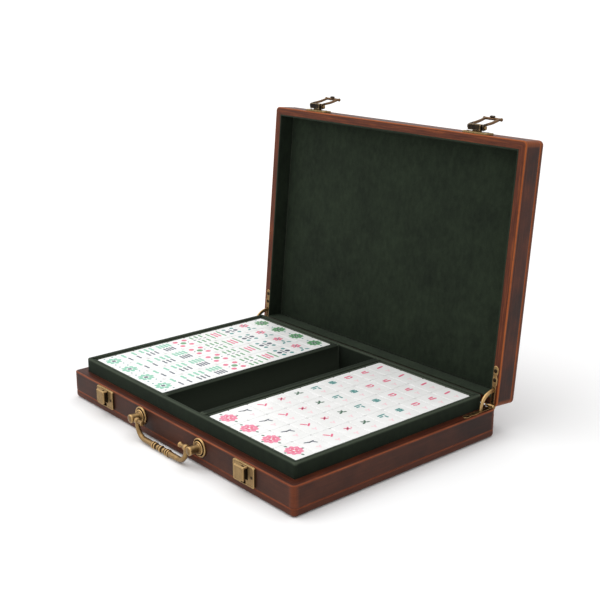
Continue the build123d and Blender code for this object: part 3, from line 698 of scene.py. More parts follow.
def hideMarks(shell, toShell):
    # where the leather is rubbed: burnish falls off with the distance from the rim's edge, the seam,
    # the upright corners and the border crease; red is the rim's own tint, band the stretch past the
    # seam, a painted shade darkens the back of the rim by the hinges, and warm marks the whole lid
    look, rub, isLid = hideLook, rubLook, shell is shells["lid"]
    depth, seam, upright = shell["depth"], shell["depth"] - shell["wrap"], case["upright"]

    def near(distance, reach, full=1.0):
        # full at no distance and less by 1 for every reach away, held between 0 and 1
        return np.clip(full - distance / reach, 0, 1)

    def marks(points):
        place = toShell(points)
        corner = np.abs(place[:, :2]) - (halfPlan - upright)
        beyond = np.maximum(corner, 0)
        inset = upright - np.hypot(*beyond.T) - np.minimum(corner.max(1), 0)
        down = place[:, 2]
        rimEdge = near(np.hypot(inset, down), 1.5, 1.25)
        seamLine = (inset < 1.0) * near(np.abs(down - seam - 0.2), 1.3, 1.1) * rub["seam"]
        turn = np.clip(np.minimum(*beyond.T) / (upright * 0.3), 0, 1) * rub["upright"]
        nearCorner = near(-np.minimum(*corner.T), 2.6) ** 1.5 * rub["nearCorner"]
        corners = np.maximum(turn, nearCorner) * (inset < 1.2)
        softEdge = (down > depth - case["soft"]) * (inset < case["soft"]) * rub["softEdge"]
        band = (down > seam) * (inset < 6.0) * np.clip((down - seam) / 0.8, 0, 1)
        border = (down > depth - 1) * near(np.abs(inset - look["borderCrease"]), 1.3) * rub["border"]
        inner = (down < 1) * near(np.abs(inset - shell["rim"]), 1.0) * rub["inner"]
        red = np.clip((inset - 1.6) / 0.6, 0, 1) * (down < 1.5) + band * rub["bandRed"]
        # painted shade on the back of the rim by the hinges, kept off the lid's rim beyond the leaves
        hingeShade = (down < 3) * np.clip((place[:, 1] - look["hingeShadeFrom"]) / 1.5, 0, 1) * rub["hingeShade"]
        if isLid:
            hingeShade *= np.clip((look["unshadedFrom"] - np.abs(place[:, 0])) / 1.5, 0, 1)
        rubbed = [rimEdge, seamLine, corners, softEdge, border, inner, band * rub["band"]]
        return {"burnish": np.max(rubbed, 0), "red": np.clip(red, 0, 1), "band": band, "inset": inset,
                "down": down, "hingeShade": hingeShade * (inset > 1.5), "warm": np.full(len(points), float(isLid))}
    return marks


hingeLook = {
    "fromSide": 5.7, "leafWidth": 6.0, "leafLength": 40.0, "neckWidth": 4.4, "neckLength": 21.5,
    "waist": 0.9, "screwsAt": (26.0, 35.0), "proud": 0.12, "leafThickness": 1.2,
    "eye": 2.3, "slotWidth": 2.3, "slotStart": 4.0, "slotEnd": 19.0,
    "notchFront": 2.7, "notchInboard": 7.4, "notchOutboard": 3.5,
    "stayRadius": 16.0, "stayWidth": 3.8, "stayThickness": 1.6, "stayReach": 62.7,
    "stayHead": 3.0, "stayHeadAngle": 8.0, "sinkRadius": 2.15, "sinkDepth": 0.75,
    "screwRadius": 1.75, "screwDome": 0.35, "screwSink": 0.5, "screwSlot": 0.15, "screwSeat": 0.42,
}
hingeX = halfPlan[0] - hingeLook["fromSide"]


def boxForm(low, high):
    # a block from its lowest to its highest corner
    low, high = np.asarray(low, float), np.asarray(high, float)
    square = [(0, 0), (1, 0), (1, 1), (0, 1)]
    pick = np.array([corner + (level,) for level in (0, 1) for corner in square])
    faces = [[0, 3, 2, 1], [4, 5, 6, 7], [0, 1, 5, 4], [1, 2, 6, 5], [2, 3, 7, 6], [3, 0, 4, 7]]
    return low + pick * (high - low), faces


def hingeCuts(side):
    # the notch for the pin, the slot for the stay and the seats of the screws, in the base's rim
    look = hingeLook
    front, half, seat = look["notchFront"], look["slotWidth"] / 2, look["sinkRadius"] + 0.15
    notch = boxForm((hingeX - look["notchInboard"], hinge[1] - front, hinge[2] - front),
                    (hingeX + look["notchOutboard"], hinge[1] + 3, hinge[2] + 3))
    slot = boxForm((hingeX - half, hinge[1] - look["slotEnd"], rimHeight - 5),
                   (hingeX + half, hinge[1] - look["slotStart"], rimHeight + 3))
    ring = spinForm([(0, -1.0), (seat, -1.0), (seat, 1.0), (0, 1.0)], 24)
    seats = [moved(ring, (hingeX, hinge[1] - distance, rimHeight)) for distance in look["screwsAt"]]
    return [onSide(form, side) for form in [notch, slot] + seats]


def flippedToLid(form):
    # a hinge form of the base as its mirror image in the shut lid
    points = form[0].copy()
    points[:, 2] = 2 * hinge[2] - points[:, 2]
    return inverted((points, form[1]))


def fromBaseRim(points):
    # the distance below the base's rim in place of the height
    return np.column_stack([points[:, :2], rimHeight - points[:, 2]])


def fromLidRim(points):
    # the same for the lid, as if it were shut
    points = shut(points)
    return np.column_stack([points[:, :2], points[:, 2] - lidRim])


def makeLeather():
    stops = (1.0, 2.2, 3.6, 5.5, 9, 20, 45, 80)
    rimCuts = [cut for side in sides.values() for cut in hingeCuts(side)]
    for body, isSide, node in (("base", True, "base_side_leather"), ("base", False, "base_bottom_leather"),
                               ("lid", True, "lid_side_leather"), ("lid", False, "lid_top_leather")):
        shell = shells[body]
        profile = sideHide(shell) if isSide else backHide(shell)
        cutters = rimCuts if isSide else []
        if body == "base":
            profile[:, 1] = rimHeight - profile[:, 1]
            form = ringForm(halfPlan, case["upright"], profile, 8, stops, isSide)
            marks = hideMarks(shell, fromBaseRim)
        else:
            profile[:, 1] = lidRim + profile[:, 1]
            form = opened(ringForm(halfPlan, case["upright"], profile, 8, stops, isSide))
            cutters = [opened(flippedToLid(cut)) for cut in cutters]
            marks = hideMarks(shell, fromLidRim)
        makePiece(node + ".hide", form, leather, body, cutters=cutters, marks=marks, sharp=60)


makeLeather()
print("leather made")


clothLook = {
    "insertInset": 10.0, "insertWall": 4.4, "insertTop": 1.5, "insertCorner": 2.4,
    "wornSheenTop": 2.2,      # how far down from its top edge the insert's paler edges reach: wear and painted sheen
    "dividerTop": 1.6, "dividerCorner": 0.5, "padTop": 0.5,
    "trayWall": 2.6, "trayFloor": 1.5, "trayTop": 0.9, "trayCorner": 1.6,
    "panelStart": 15.5, "panelCrown": 0.9, "panelEdge": 2.4, "panelReach": 7.0, "panelGap": 0.08,
    "panelCorner": 2.0, "lap": 0.8, "lapProud": 0.18,
    "paleWallFrom": 114.0,     # behind this distance from the middle the lining is coloured paler
}


def makeInsert():
    # the raised frame: a closed section carried round, its top edge softly rounded
    look = clothLook
    low, high = frameBox("insert_right_wall")
    half = halfPlan - look["insertInset"]
    wall, bottom, top = look["insertWall"], low[2], high[2]
    corners = [(0, bottom), (0, top), (wall, top), (wall, bottom)]
    line = refined(rounded(corners, [0.3, look["insertTop"], look["insertTop"], 0.3]), 1.6)
    form = ringForm(half, look["insertCorner"], line, 5, (2, 8, 20, 50, 90), True)
    names = ["insert_" + place + "_wall" for place in ("left", "right", "front", "back")]

    def noEdgeWearOrSheen(points):  # no paler edges below the frame's rim: neither wear nor painted sheen
        return {"noEdgeWearOrSheen": (points[:, 2] < top - look["wornSheenTop"]) * 0.85}

    makePiece("insert_frame.cloth", form, suede, "base", names, marks=noEdgeWearOrSheen)


def centredForm(node, radius, line, cornerSteps, least=0.15):
    # a profile from the floor of a CAD node up, carried round the node's own box
    low, high = frameBox(node)
    line[:, 1] += low[2]
    return ringForm((high - low)[:2] / 2, radius, line, cornerSteps, (3, 12, 40),
                    centre=(high + low)[:2] / 2, least=least)


def makeDividers():
    look = clothLook
    for name in ("divider_left", "divider_right", "compartment_pad"):
        low, high = frameBox(name)
        edge = look["dividerTop"] if name.startswith("divider") else look["padTop"]
        height = high[2] - low[2]
        corners = [(0, 0), (0, height), (40, height), (40, 0)]
        line = rounded(corners, [0.3, edge, 0.2, 0.2], 5)[:12]
        inner = min((high - low)[:2]) / 2 - 0.3
        top = [[min(edge + 0.6, inner), height], [inner, height]]
        line = np.vstack([[inner, 0], [1.2, 0], line, top])
        makePiece(name + ".cloth", centredForm(name, look["dividerCorner"], line, 2, 0.1), suedeShadedCopy,
                  "base")


def makeTrays():
    # one closed skin each: middle of the floor, inner wall, rounded top edge, outer wall, underside
    look = clothLook
    wall, floor, top = look["trayWall"], look["trayFloor"], look["trayTop"]
    for name in [level + "_tray_" + side for side in sides for level in ("lower", "upper")]:
        low, high = frameBox(name)
        height = high[2] - low[2]
        corners = [(12, floor), (wall, floor), (wall, height), (0, height), (0, 0), (12, 0)]
        line = refined(rounded(corners, [0.1, 0.4, top, top, 0.5, 0.1])[5:-5], 2.5, False)
        makePiece(name + ".cloth", centredForm(name, look["trayCorner"], line[::-1], 4), suede, name)


def makeLidLining():
    # a thin ring over the walls with a rolled edge at the rim
    wall, lining, lap, proud = shells["lid"]["rim"], case["lining"], clothLook["lap"], clothLook["lapProud"]
    corners = [(wall - lap, 0.05), (wall - lap, -proud), (wall + lining, -proud), (wall + lining, lidFloor),
               (wall, lidFloor), (wall, 0.05)]
    line = refined(rounded(corners, [0.02, 0.1, 0.3, 0.1, 0.1, 0.02]), 1.5)
    line[:, 1] += lidRim
    form = opened(ringForm(halfPlan, case["upright"], line, 4, (2, 8, 20, 50, 90), True))

    def paleWall(points):  # the wall by the hinges is coloured paler
        return {"paleWall": (shut(points)[:, 1] > clothLook["paleWallFrom"]) * 1.0}

    nodes = ["lid_side_linings", "lid_end_linings"]
    makePiece("lid_wall_lining.cloth", form, suedeLining, "lid", nodes, marks=paleWall)


def makeLidPanel():
    # a padded board whose face falls away towards its edges: its height is crown * exp(-inset /
    # reach) below the full one
    look = clothLook
    start, edge = look["panelStart"], look["panelEdge"]
    corners = [(0, lidFloor), (0, start), (60, start), (60, lidFloor)]
    line = rounded(corners, [0.4, edge, 0.1, 0.1], 8)[:18]
    flat = [[inset, start] for inset in (4, 6, 9, 13, 19, 27, 38)]
    line = np.vstack([[30, lidFloor], line, flat])
    face = line[:, 1] < start + edge
    line[:, 1] += face * look["panelCrown"] * np.exp(-line[:, 0] / look["panelReach"])
    line[:, 1] += lidRim
    half = halfPlan - shells["lid"]["rim"] - case["lining"] - look["panelGap"]
    stops = (2, 5, 9, 16, 30, 50, 90)
    form = opened(ringForm(half, look["panelCorner"], line, 4, stops, least=0.3))
    panel = makePiece("lid_panel.pad", form, suedePanel, "lid", ["lid_panel_lining"])


makeInsert()
makeDividers()
makeTrays()
makeLidLining()
makeLidPanel()
print("cloth made")


tileLook = {
    "columns": 4, "rows": 10, "gap": 0.1, "corner": 1.5, "edge": 0.8, "inkHeight": 0.05,
    "leftGrowth": 1.15, "rightGrowth": 1.0,
}


def tileForm(size):
    # a block of a few dozen faces, its edges and upright corners turned
    edge, radius, half = tileLook["edge"], tileLook["corner"], size[:2] / 2
    profile = [(edge, 0), (0, edge), (0, size[2] - edge), (edge * 0.3, size[2] - edge * 0.3), (edge, size[2])]
    inset, heights = np.array(profile).T
    signs, directions = planColumns(half, radius, 2, ())
    keep = np.abs(signs).min(1) == 1
    return stacked(ringPlan(half, radius, inset, (signs[keep], directions[keep]), 0.3), heights)


def repeated(form, offsets):
    # the same form at many places
    points = (form[0][None] + np.asarray(offsets, float)[:, None]).reshape(-1, 3)
    count = len(form[0])
    faces = [[index + count * copy for index in face] for copy in range(len(offsets)) for face in form[1]]
    return points, faces


# the printed marks are outlines on a face 30 long and 21.4 wide with its top towards -X


def disc(x, y, radius, count=14):
    angle = np.arange(count) * 2 * np.pi / count
    return np.stack([x + radius * np.cos(angle), y + radius * np.sin(angle)], 1)


def placed(x, y, angle, along, across):
    # an outline given along and across an axis that leaves (x, y) at the angle
    turn = np.radians(angle)
    return np.stack([x + along * np.cos(turn) - across * np.sin(turn),
                     y + along * np.sin(turn) + across * np.cos(turn)], 1)


def petal(x, y, angle, length, width):
    # a rounded leaf: half width times sin(pi t) to the power 0.8, along its own axis
    share = np.linspace(0, 1, 7)
    half = width / 2 * np.sin(np.pi * share) ** 0.8
    along = np.concatenate([share, share[-2:0:-1]]) * length
    return placed(x, y, angle, along, np.concatenate([half, -half[-2:0:-1]]))


def bar(x, y, angle, length, width, waist=0.0):
    # a stick with rounded ends, narrowed at its middle by the waist
    share = np.linspace(-1, 1, 7)
    half = width / 2 * (1 - np.abs(share) ** 6 * 0.5) - waist * np.exp(-(share / 0.22) ** 2)
    along = np.concatenate([share, share[::-1]]) * length / 2
    return placed(x, y, angle, along, np.concatenate([half, -half[::-1]]))


def discs(across, along, radius):
    # one disc wherever a place across meets one along
    return [disc(x, y, radius) for x in across for y in along]


def bars(across, along, *size):
    return [bar(x, y, *size) for x in across for y in along]


def strokes(*rows):
    # sticks of (x, y, angle, length, width), drawn a little longer and bolder than that
    return [bar(x, y, angle, length * 1.08, width * 1.35) for x, y, angle, length, width in rows]


def rosette(x, y, count, inner, length, width, start=0):
    # petals round a point, each one starting at the inner radius
    return [petal(x + inner * np.cos(turn), y + inner * np.sin(turn), np.degrees(turn), length, width)
            for turn in np.radians(start) + np.arange(count) * 2 * np.pi / count]


# each row of a compartment from the front to the back: its inks with their outlines. On the left lie
# sticks and rounds, on the right a round flower in front of strokes with a pale mark beside each
paleMark = {"pale": [petal(7.4, 0, angle, 3.2, 1.5) for angle in (0, 120, 240)]}
motifs = {
    "left": [
        {"mint": rosette(0, 0, 8, 2.4, 5.2, 3.6), "navy": [disc(0, 0, 1.9)],
         "teal": discs((9.6, -9.6), (-4, 4), 0.9)},
        *[{"mint": bars([-5.2], np.linspace(-5.4, 5.4, count), 0, 8.6, 2.7, 0.5),
           "navy": bars([5.2], np.linspace(-5.4, 5.4, count) * 0.8, 0, 8.0, 1.9, 0.4)}
          for count in (2, 3, 4)],
        {"pink": discs((-6.2, 6.2), (-5, 5), 2.5), "green": [disc(0, 0, 2.9)],
         "navy": discs([0], (5.6, -5.6), 0.8)},
        {"green": bars((-6.8, 6.8), (-5.2, 0, 5.2), 0, 6.6, 2.3, 0.4),
         "navy": bars([0], (-5.6, 0, 5.6), 90, 3.2, 1.3)},
        {"pink": bars([0], (-1.9, 1.9), 0, 12.5, 2.2, 0.5), "green": bars([0], (-6.2, 6.2), 0, 17, 1.7, 0.4)},
        {"teal": discs((-6.5, 6.5), (-4.6, 4.6), 2.0),
         "navy": discs([0], (-4.6, 4.6), 2.4) + [bar(0, 0, 0, 10, 1.2)]},
        {"pink": rosette(-4.6, 0, 6, 1.4, 3.6, 2.8), "teal": rosette(6.4, 0, 3, 0.8, 5.0, 2.4, 60),
         "navy": [disc(-4.6, 0, 1.2)]},
        {"green": rosette(0, 0, 10, 2.2, 5.4, 3.0), "pine": rosette(0, 0, 5, 0.4, 3.0, 1.8, 18),
         "teal": discs((9.4, -9.4), [0], 1.0)},
    ],
    "right": [
        {"rose": rosette(0, 0, 9, 3.6, 5.0, 4.5), "pink": rosette(0, 0, 5, 1.0, 3.6, 3.1, 20),
         "pine": [petal(0, 7.8, 40, 2.6, 1.8), petal(0, -7.8, -140, 2.6, 1.8), petal(8.9, 0, 20, 3.4, 1.9),
                  petal(-8.9, 0, 200, 3.4, 1.9)]},
        *[{ink: outlines, **paleMark} for ink, outlines in (
            ("navy", strokes((-4.8, -2.6, 70, 6.4, 1.1), (-4.2, 1.2, 100, 6.0, 1.1),
                             (-1.6, 3.4, 30, 4.4, 1.0))),
            ("pink", strokes((-5.6, -1.8, 35, 6.2, 1.3), (-2.4, 1.6, -50, 6.0, 1.3))),
            ("pink", strokes((-4.0, 0, 45, 6.6, 1.2), (-4.0, 0, -45, 6.6, 1.2)) + [disc(-4.0, 4.4, 0.8, 8)]),
            ("pine", [petal(-4.0, 0, angle, 5.0, 1.9) for angle in (75, 150, 215, 290)]),
            ("teal", strokes((-6.2, 0, 90, 8.4, 1.4), (-3.2, -2.4, 90, 4.0, 1.3), (-1.2, 2.0, 0, 4.6, 1.3))),
            ("teal", strokes((-6.4, 0, 90, 6.0, 1.4), (-4.0, 0, 90, 7.2, 1.4), (-1.6, 0, 90, 6.0, 1.4))),
            ("pink", strokes((-6.0, 0, 90, 7.8, 1.5), (-2.6, -2.2, 60, 4.0, 1.4),
                             (-2.6, 2.2, 120, 4.0, 1.4))),
            ("pink", strokes((-5.6, 0, 96, 6.0, 1.5), (-2.4, 0, 84, 8.0, 1.5))),
            ("pink", strokes((-4.2, 0, 100, 8.4, 1.7))))],
    ],
}


def inkForm(outline, height):
    # a mark as a thin closed layer, a hair above the tile's face
    return plateForm(outline, [(0, -height), (0, height * 0.4), (0.08, height)])


def makeTiles():
    look = tileLook
    columns, rows, gap = look["columns"], look["rows"], look["gap"]
    for side, level in [(side, level) for side in sides for level in ("upper", "lower")]:
        node = level + "_tiles_" + side
        body = node if level == "upper" else "lower_tray_" + side
        low, high = frameBox(node)
        pitch = (high - low + gap)[:2] / [columns, rows]
        size = np.array([*(pitch - gap), high[2] - low[2]])
        places = [(column, row) for row in range(rows) for column in range(columns)]
        centres = low[:2] + size[:2] / 2 + np.array(places) * pitch
        offsets = np.column_stack([centres, np.full(len(centres), low[2])])
        makePiece(node + ".resin", repeated(tileForm(size), offsets), resin, body, sharp=35)
        offsets[:, 2] = high[2]
        printed = {}
        for row, motif in enumerate(motifs[side]):
            spots = offsets[row * columns:(row + 1) * columns]
            for layer, (ink, outlines) in enumerate(motif.items()):
                height = look["inkHeight"] * (1 + 0.3 * layer)
                forms = [inkForm(line * look[side + "Growth"], height) for line in outlines]
                printed.setdefault(ink, []).append(repeated(joined(forms), spots))
        for ink, forms in printed.items():
            makePiece(node + ".print." + ink, joined(forms), inkLooks[ink], body, ())


makeTiles()
print("tiles made")


keeperLook = {
    "width": 28.6, "height": 19.0, "plate": 2.2, "corner": 2.0, "rise": 18.1, "at": 112.0,
    "boxWidth": 12.8, "boxHeight": 12.8, "boxUp": 2.5, "proud": 7.6, "wall": 1.5, "pocket": 2.4,
    "slotLength": 3.4, "slotWidth": 1.7, "slotDepth": 1.2, "screwsOut": 11.2,
    "holeWidth": 6.4, "holeHeight": 3.4, "holeRise": 11.2,
    "screwRadius": 1.55, "screwDome": 0.55, "screwSink": 0.5, "screwSlot": 0.16, "screwSeat": 0.15,
}


def dishedPlate(outline, thickness, edge=0.45, border=1.3, sunk=0.2):
    # rounded edge, a narrow raised border and a face that lies a little lower
    face = thickness - sunk
    profile = [(0.3, 0), (0, 0.3), (0, thickness - edge), (edge * 0.3, thickness - edge * 0.3),
               (edge, thickness), (border - 0.2, thickness), (border, thickness - 0.03),
               (border + 0.3, face), (border + 0.7, face)]
    return plateForm(outline, profile)


def rectangle(width, height):
    # the corners of a rectangle about the origin
    return np.array([(-1, -1), (1, -1), (1, 1), (-1, 1)]) * [width / 2, height / 2]


def extruded(outline, low, high, edge=0.25):
    # an outline carried from low to high, its end edges eased; rings beside the edges keep their
    # wear off the faces
    near, flat = edge + 0.4, edge + 0.25
    profile = [(flat, low), (edge, low), (0, low + edge), (0, low + near), (0, high - near),
               (0, high - edge), (edge, high), (flat, high)]
    return plateForm(refined(outline, 1.1), profile)


def keeperForm():
    # plate with a raised border, and a raised box whose front face is framed by a bevel
    look = keeperLook
    outline = rounded(rectangle(look["width"], look["height"]), look["corner"], 6)
    plate, proud = dishedPlate(outline, look["plate"]), look["proud"]
    bevel = [(0.3, 0.5), (0, 0.8), (0, proud - 1.1), (0.1, proud - 0.75), (0.5, proud - 0.2),
             (0.8, proud - 0.04), (1.2, proud), (1.8, proud), (2.4, proud)]
    box = plateForm(rounded(rectangle(look["boxWidth"], look["boxHeight"]), 0.7, 4), bevel)
    return joined([plate, moved(box, (0, look["boxUp"], 0))])


def keeperCuts():
    # a pocket in each side of the box, open at the bottom; a key slot in its top; the catch's hole
    look = keeperLook
    plate, proud, wall = look["plate"], look["proud"], look["wall"]
    half, low = look["boxWidth"] / 2, look["boxUp"] - look["boxHeight"] / 2
    top, middle = low + look["boxHeight"], (proud + plate) / 2
    cuts = []
    for sign in (-1, 1):
        x0, x1 = sorted((sign * (half - look["pocket"]), sign * (half + 0.1)))
        cuts.append(boxForm((x0, low - 0.1, plate - 0.4), (x1, top - wall, proud - wall)))
    long, wide = look["slotLength"] / 2, look["slotWidth"] / 2
    cuts.append(boxForm((half / 2 - long, top - look["slotDepth"], middle - wide),
                        (half / 2 + long, top + 1, middle + wide)))
    hole, high, up = look["holeWidth"] / 2, look["holeHeight"] / 2, look["holeRise"] - look["rise"]
    cuts.append(boxForm((-hole, up - high, -0.5), (hole, up + high, plate + 0.6)))
    return cuts


def hollows(x):
    # painted shade inside the pockets, the slot and the hole of the keeper at x, and painted shadow on the
    # plate's sides
    look = keeperLook

    def marks(points):
        across, out, up = np.abs(points[:, 0] - x), frontFace - points[:, 1], points[:, 2] - look["rise"]
        plate, proud = look["plate"], look["proud"]
        half, top = look["boxWidth"] / 2, look["boxUp"] + look["boxHeight"] / 2
        pocket = (across < half - 0.1) & (out > plate - 0.5) & (out < proud - look["wall"] + 0.1)
        pocket &= (up > look["boxUp"] - look["boxHeight"] / 2 - 0.3) & (up < top - 0.9)
        hole = (across < look["holeWidth"] / 2 + 0.05) & (out < plate - 0.3)
        hole &= np.abs(up - look["holeRise"] + look["rise"]) < look["holeHeight"] / 2 + 0.1
        slot = np.abs(points[:, 0] - x - half / 2) < look["slotLength"] / 2 + 0.05
        slot &= np.abs(out - (proud + plate) / 2) < look["slotWidth"] / 2 + 0.05
        slot &= (up > 0) & (up < top - 0.25)
        # painted shadow on the thick sides of the plate
        side = (across > look["width"] / 2 - 0.2) & (out < plate - 0.6)
        return {"hollow": np.maximum(pocket * 0.9 + hole + slot, side * 0.8)}
    return marks


def makeKeepers():
    look = keeperLook
    head, seat = screwForm(look), look["plate"] - look["screwSeat"]
    screws = []
    for side, sign in sides.items():
        x = sign * look["at"]
        cuts = [onFront(cut, x, look["rise"]) for cut in keeperCuts()]
        makePiece("keeper_" + side + ".brass", onFront(keeperForm(), x, look["rise"]), keeperBrass, "base",
                  cutters=cuts, marks=hollows(x), sharp=40, fine=1.2)
        for out in (-look["screwsOut"], look["screwsOut"]):
            screws.append(onFront(moved(head, (out, 0, seat)), x, look["rise"]))
    makePiece("keeper_screws.brass", joined(screws), darkScrew, "base")


haspLook = {
    "width": 33.0, "height": 12.6, "plate": 1.8, "corner": 5.0, "fromRim": 1.0, "pinOut": 6.2,
    "pinFromRim": 5.2, "eye": 2.9, "knuckle": 2.65, "blockWidth": 14.0, "blockLift": 1.5, "foot": 8.4,
    "bar": 2.2, "barThick": 1.8, "slotHalf": 7.4, "reach": 22.9, "rod": 1.35, "ball": 1.75,
    "knobWidth": 5.4, "knobHeight": 2.4, "knobClear": 1.2, "flip": 166.0, "darkRound": 4.2,
    "screwsOut": 12.4, "screwRadius": 1.7, "screwDome": 0.7, "screwSink": 0.6, "screwSlot": 0.16,
    "screwSeat": 0.1,
}
# where the loop's rod lies over the keeper, up from the rim and out from the front
rodUp = haspLook["pinFromRim"] - haspLook["reach"]
rodOut = haspLook["pinOut"] - haspLook["eye"] + haspLook["barThick"] / 2


def cylinderX(radius, low, high, y, z, edge=0.25, steps=28):
    # a bar along X with eased ends
    flat, turn = radius - edge, edge * 0.3
    profile = [(0, low), (flat - 0.25, low), (flat, low), (radius - turn, low + turn),
               (radius, low + edge), (radius, high - edge), (radius - turn, high - turn), (flat, high),
               (flat - 0.25, high), (0, high)]
    return moved(spinForm(profile, steps), (0, y, z), (2, 0, 1))


def acrossX(form):
    # a form that was shaped along Z, laid along X
    return moved(form, order=(2, 0, 1))


def haspPlateForm():
    # plate with round ends, foot, lifted block and barrel, in front coordinates (x, up, out)
    look = haspLook
    low, pin, out, eye = look["fromRim"], look["pinFromRim"], look["pinOut"], look["eye"]
    outline = rounded(rectangle(look["width"], look["height"]), look["corner"], 8)
    plate = moved(dishedPlate(outline, look["plate"], 0.5, 1.2, 0.15), (0, low + look["height"] / 2, 0))
    half, foot = look["blockWidth"] / 2, look["foot"] / 2
    bottom, top = look["plate"] + look["blockLift"], out + eye
    section = rounded([(low, bottom), (pin, bottom), (pin, top), (low, top)], [0.5, 0.4, 0.4, 0.9])
    block = acrossX(extruded(section, -half, half))
    barrel = cylinderX(eye, -half, half, pin, out)
    support = rounded([(pin - 1.5, 0.6), (pin + eye, 0.6), (pin + eye, out - 1), (pin - 1.5, out)], 0.3)
    return joined([plate, block, barrel, acrossX(extruded(support, -foot, foot))])


def haspLoopForm():
    # two bars and a balled rod in front coordinates, lying over the keeper; a bar's width swells as
    # 0.92 + 0.18 * sin(pi * share)
    look = haspLook
    pin, width, inside = look["pinFromRim"], look["bar"], look["slotHalf"]
    section = rounded(rectangle(look["barThick"] + 0.5, width), 0.6, 3)
    share = np.linspace(0, 1, 18)
    path = np.stack([pin + (rodUp - pin) * share, rodOut + 0.5 * np.sin(np.pi * share) ** 2], 1)
    bar = acrossX(sweepForm(path, section, 0.92 + 0.18 * np.sin(np.pi * share)))
    block = rounded(rectangle(2 * look["knuckle"], 2 * look["knuckle"]) + [pin, look["pinOut"]], 0.9, 3)
    forms = []
    for sign in (-1, 1):
        forms.append(moved(bar, (sign * (inside + width / 2), 0, 0)))
        inner, outer = sorted((sign * inside, sign * (inside + width)))
        forms.append(acrossX(extruded(block, inner, outer)))
    reach = inside + width + 0.5
    ball, rod = look["ball"], look["rod"]
    angle = np.linspace(0, np.pi, 9)
    cap = np.stack([ball * np.sin(angle), -reach - ball * 0.2 - ball * 0.75 * np.cos(angle)], 1)
    cap[-1, 0] = rod
    line = np.vstack([cap, [rod, 1.6 - reach], [rod, -4.4], [rod + 0.2, -3.9], [rod + 0.2, -3.3],
                      [rod, -2.9]])
    line = np.vstack([line, line[::-1] * [1, -1]])
    forms.append(moved(spinForm(line, 24), (0, rodUp, rodOut), (2, 0, 1)))
    return joined(forms)


def haspKnobForm():
    # a blunt catch with a rolled head, from the rod towards the case
    look = haspLook
    tip = look["knobClear"]
    outline = rounded(rectangle(look["knobWidth"], look["knobHeight"]), 0.6, 4)
    roll = [(0.8, 0), (0.35, 0), (0.1, 0.15), (0, 0.4), (0, 0.9), (0.1, 1.1), (0.3, 1.2)]
    profile = [(inset, tip + height) for inset, height in roll] + [(0.3, rodOut), (0.8, rodOut)]
    return moved(plateForm(outline, profile), (0, rodUp, 0))


def flipped(form):
    # a form in front coordinates (x, up, out) swung from the keeper up on to the lid
    look = haspLook
    return turned(form[0], -np.radians(look["flip"]), look["pinFromRim"], look["pinOut"]), form[1]


def darkBeyond(out=np.inf, knuckle=0.0):
    # marks for the parts of a hasp further out from the front than a distance, or close to its pin
    def marks(points):
        place = shut(points)
        away = frontFace - place[:, 1]
        fromPin = np.hypot(place[:, 2] - lidRim - haspLook["pinFromRim"], away - haspLook["pinOut"])
        return {"shade": np.maximum(away > out, fromPin < knuckle) * 1.0}
    return marks


def makeHasps():
    look = haspLook
    head = screwForm(look)
    up, out = look["fromRim"] + look["height"] / 2, look["plate"] - look["screwSeat"]
    screws = []
    for side, sign in sides.items():
        def onLid(form):
            return opened(onFront(form, sign * keeperLook["at"], lidRim))

        makePiece("hasp_plate_" + side + ".brass", onLid(haspPlateForm()), haspPlateBrass, "lid",
                  marks=darkBeyond(look["plate"] + 0.6), fine=1.5)
        makePiece("hasp_arm_" + side + ".brass", onLid(flipped(haspLoopForm())), haspBrass, "hasp_" + side,
                  marks=darkBeyond(knuckle=look["darkRound"]))
        makePiece("hasp_knob_" + side + ".brass", onLid(flipped(haspKnobForm())), catchBrass, "hasp_" + side)
        for across in (-look["screwsOut"], look["screwsOut"]):
            screws.append(onLid(moved(head, (across, up, out))))
    makePiece("hasp_plate_screws.brass", joined(screws), darkScrew, "lid")


handleLook = {
    "halfSpan": 47.6, "axisOut": 10.0, "axisUp": 19.0, "rosette": 9.0, "post": 4.2, "postPast": 3.8,
    "pin": 1.4, "pinInPost": 2.6, "finialFrom": 14.6, "stem": 1.9, "finial": 2.6, "finialLength": 2.4,
    "legInboard": 8.0, "drop": 15.3, "bend": 12.5, "legRadius": 2.15, "gripRadius": 2.7,
    "swellLength": 22, "neck": 2.1, "neckHalf": 12.6, "darkHalf": 13.6, "boss": 3.0,
    "hollow": (6.3, 7.2),  # inner and outer radius of the rosette's dark groove
    # the grip's rings: distance from its middle, radius and half width
    "rings": ((0, 3.5, 1.3), (4.6, 2.9, 2.2), (8.9, 3.4, 1.0), (12.2, 3.5, 1.1)),
}


def rosetteForm():
    # rim bead, hollow, inner bead and seat: (radius, out)
    edge = handleLook["rosette"]
    angle = np.linspace(0, np.pi, 7)
    rim = np.stack([edge - 0.85 + 0.85 * np.cos(angle), 1.05 + 0.85 * np.sin(angle)], 1)
    inner = np.stack([5.7 + 0.75 * np.cos(angle), 2.1 + 0.85 * np.sin(angle)], 1)
    line = np.vstack([[0, 0], [edge - 0.3, 0], [edge, 0.3], rim, [edge - 2.0, 0.85], [edge - 2.3, 0.85],
                      [6.45, 1.5], inner, [4.8, 2.4], [0, 2.4]])
    return spinForm(line, 40)


def postForm():
    # a stout stud with a collar at its foot and a soft dome at its end
    look = handleLook
    radius, end = look["post"], look["axisOut"] + look["postPast"]
    angle = np.linspace(0, np.pi / 2, 6)
    dome = np.stack([radius - 1.3 + 1.3 * np.cos(angle), end - 1.3 + 1.3 * np.sin(angle) * 0.8], 1)
    line = np.vstack([[0, 2.0], [radius + 0.5, 2.0], [radius + 0.6, 2.8], [radius + 0.35, 3.3],
                      [radius - 0.15, 3.8], [radius - 0.2, 6.0], [radius - 0.1, end - 3.4],
                      [radius, end - 2.4], dome, [radius * 0.4, end + 0.05], [0, end + 0.1]])
    return spinForm(line, 32)


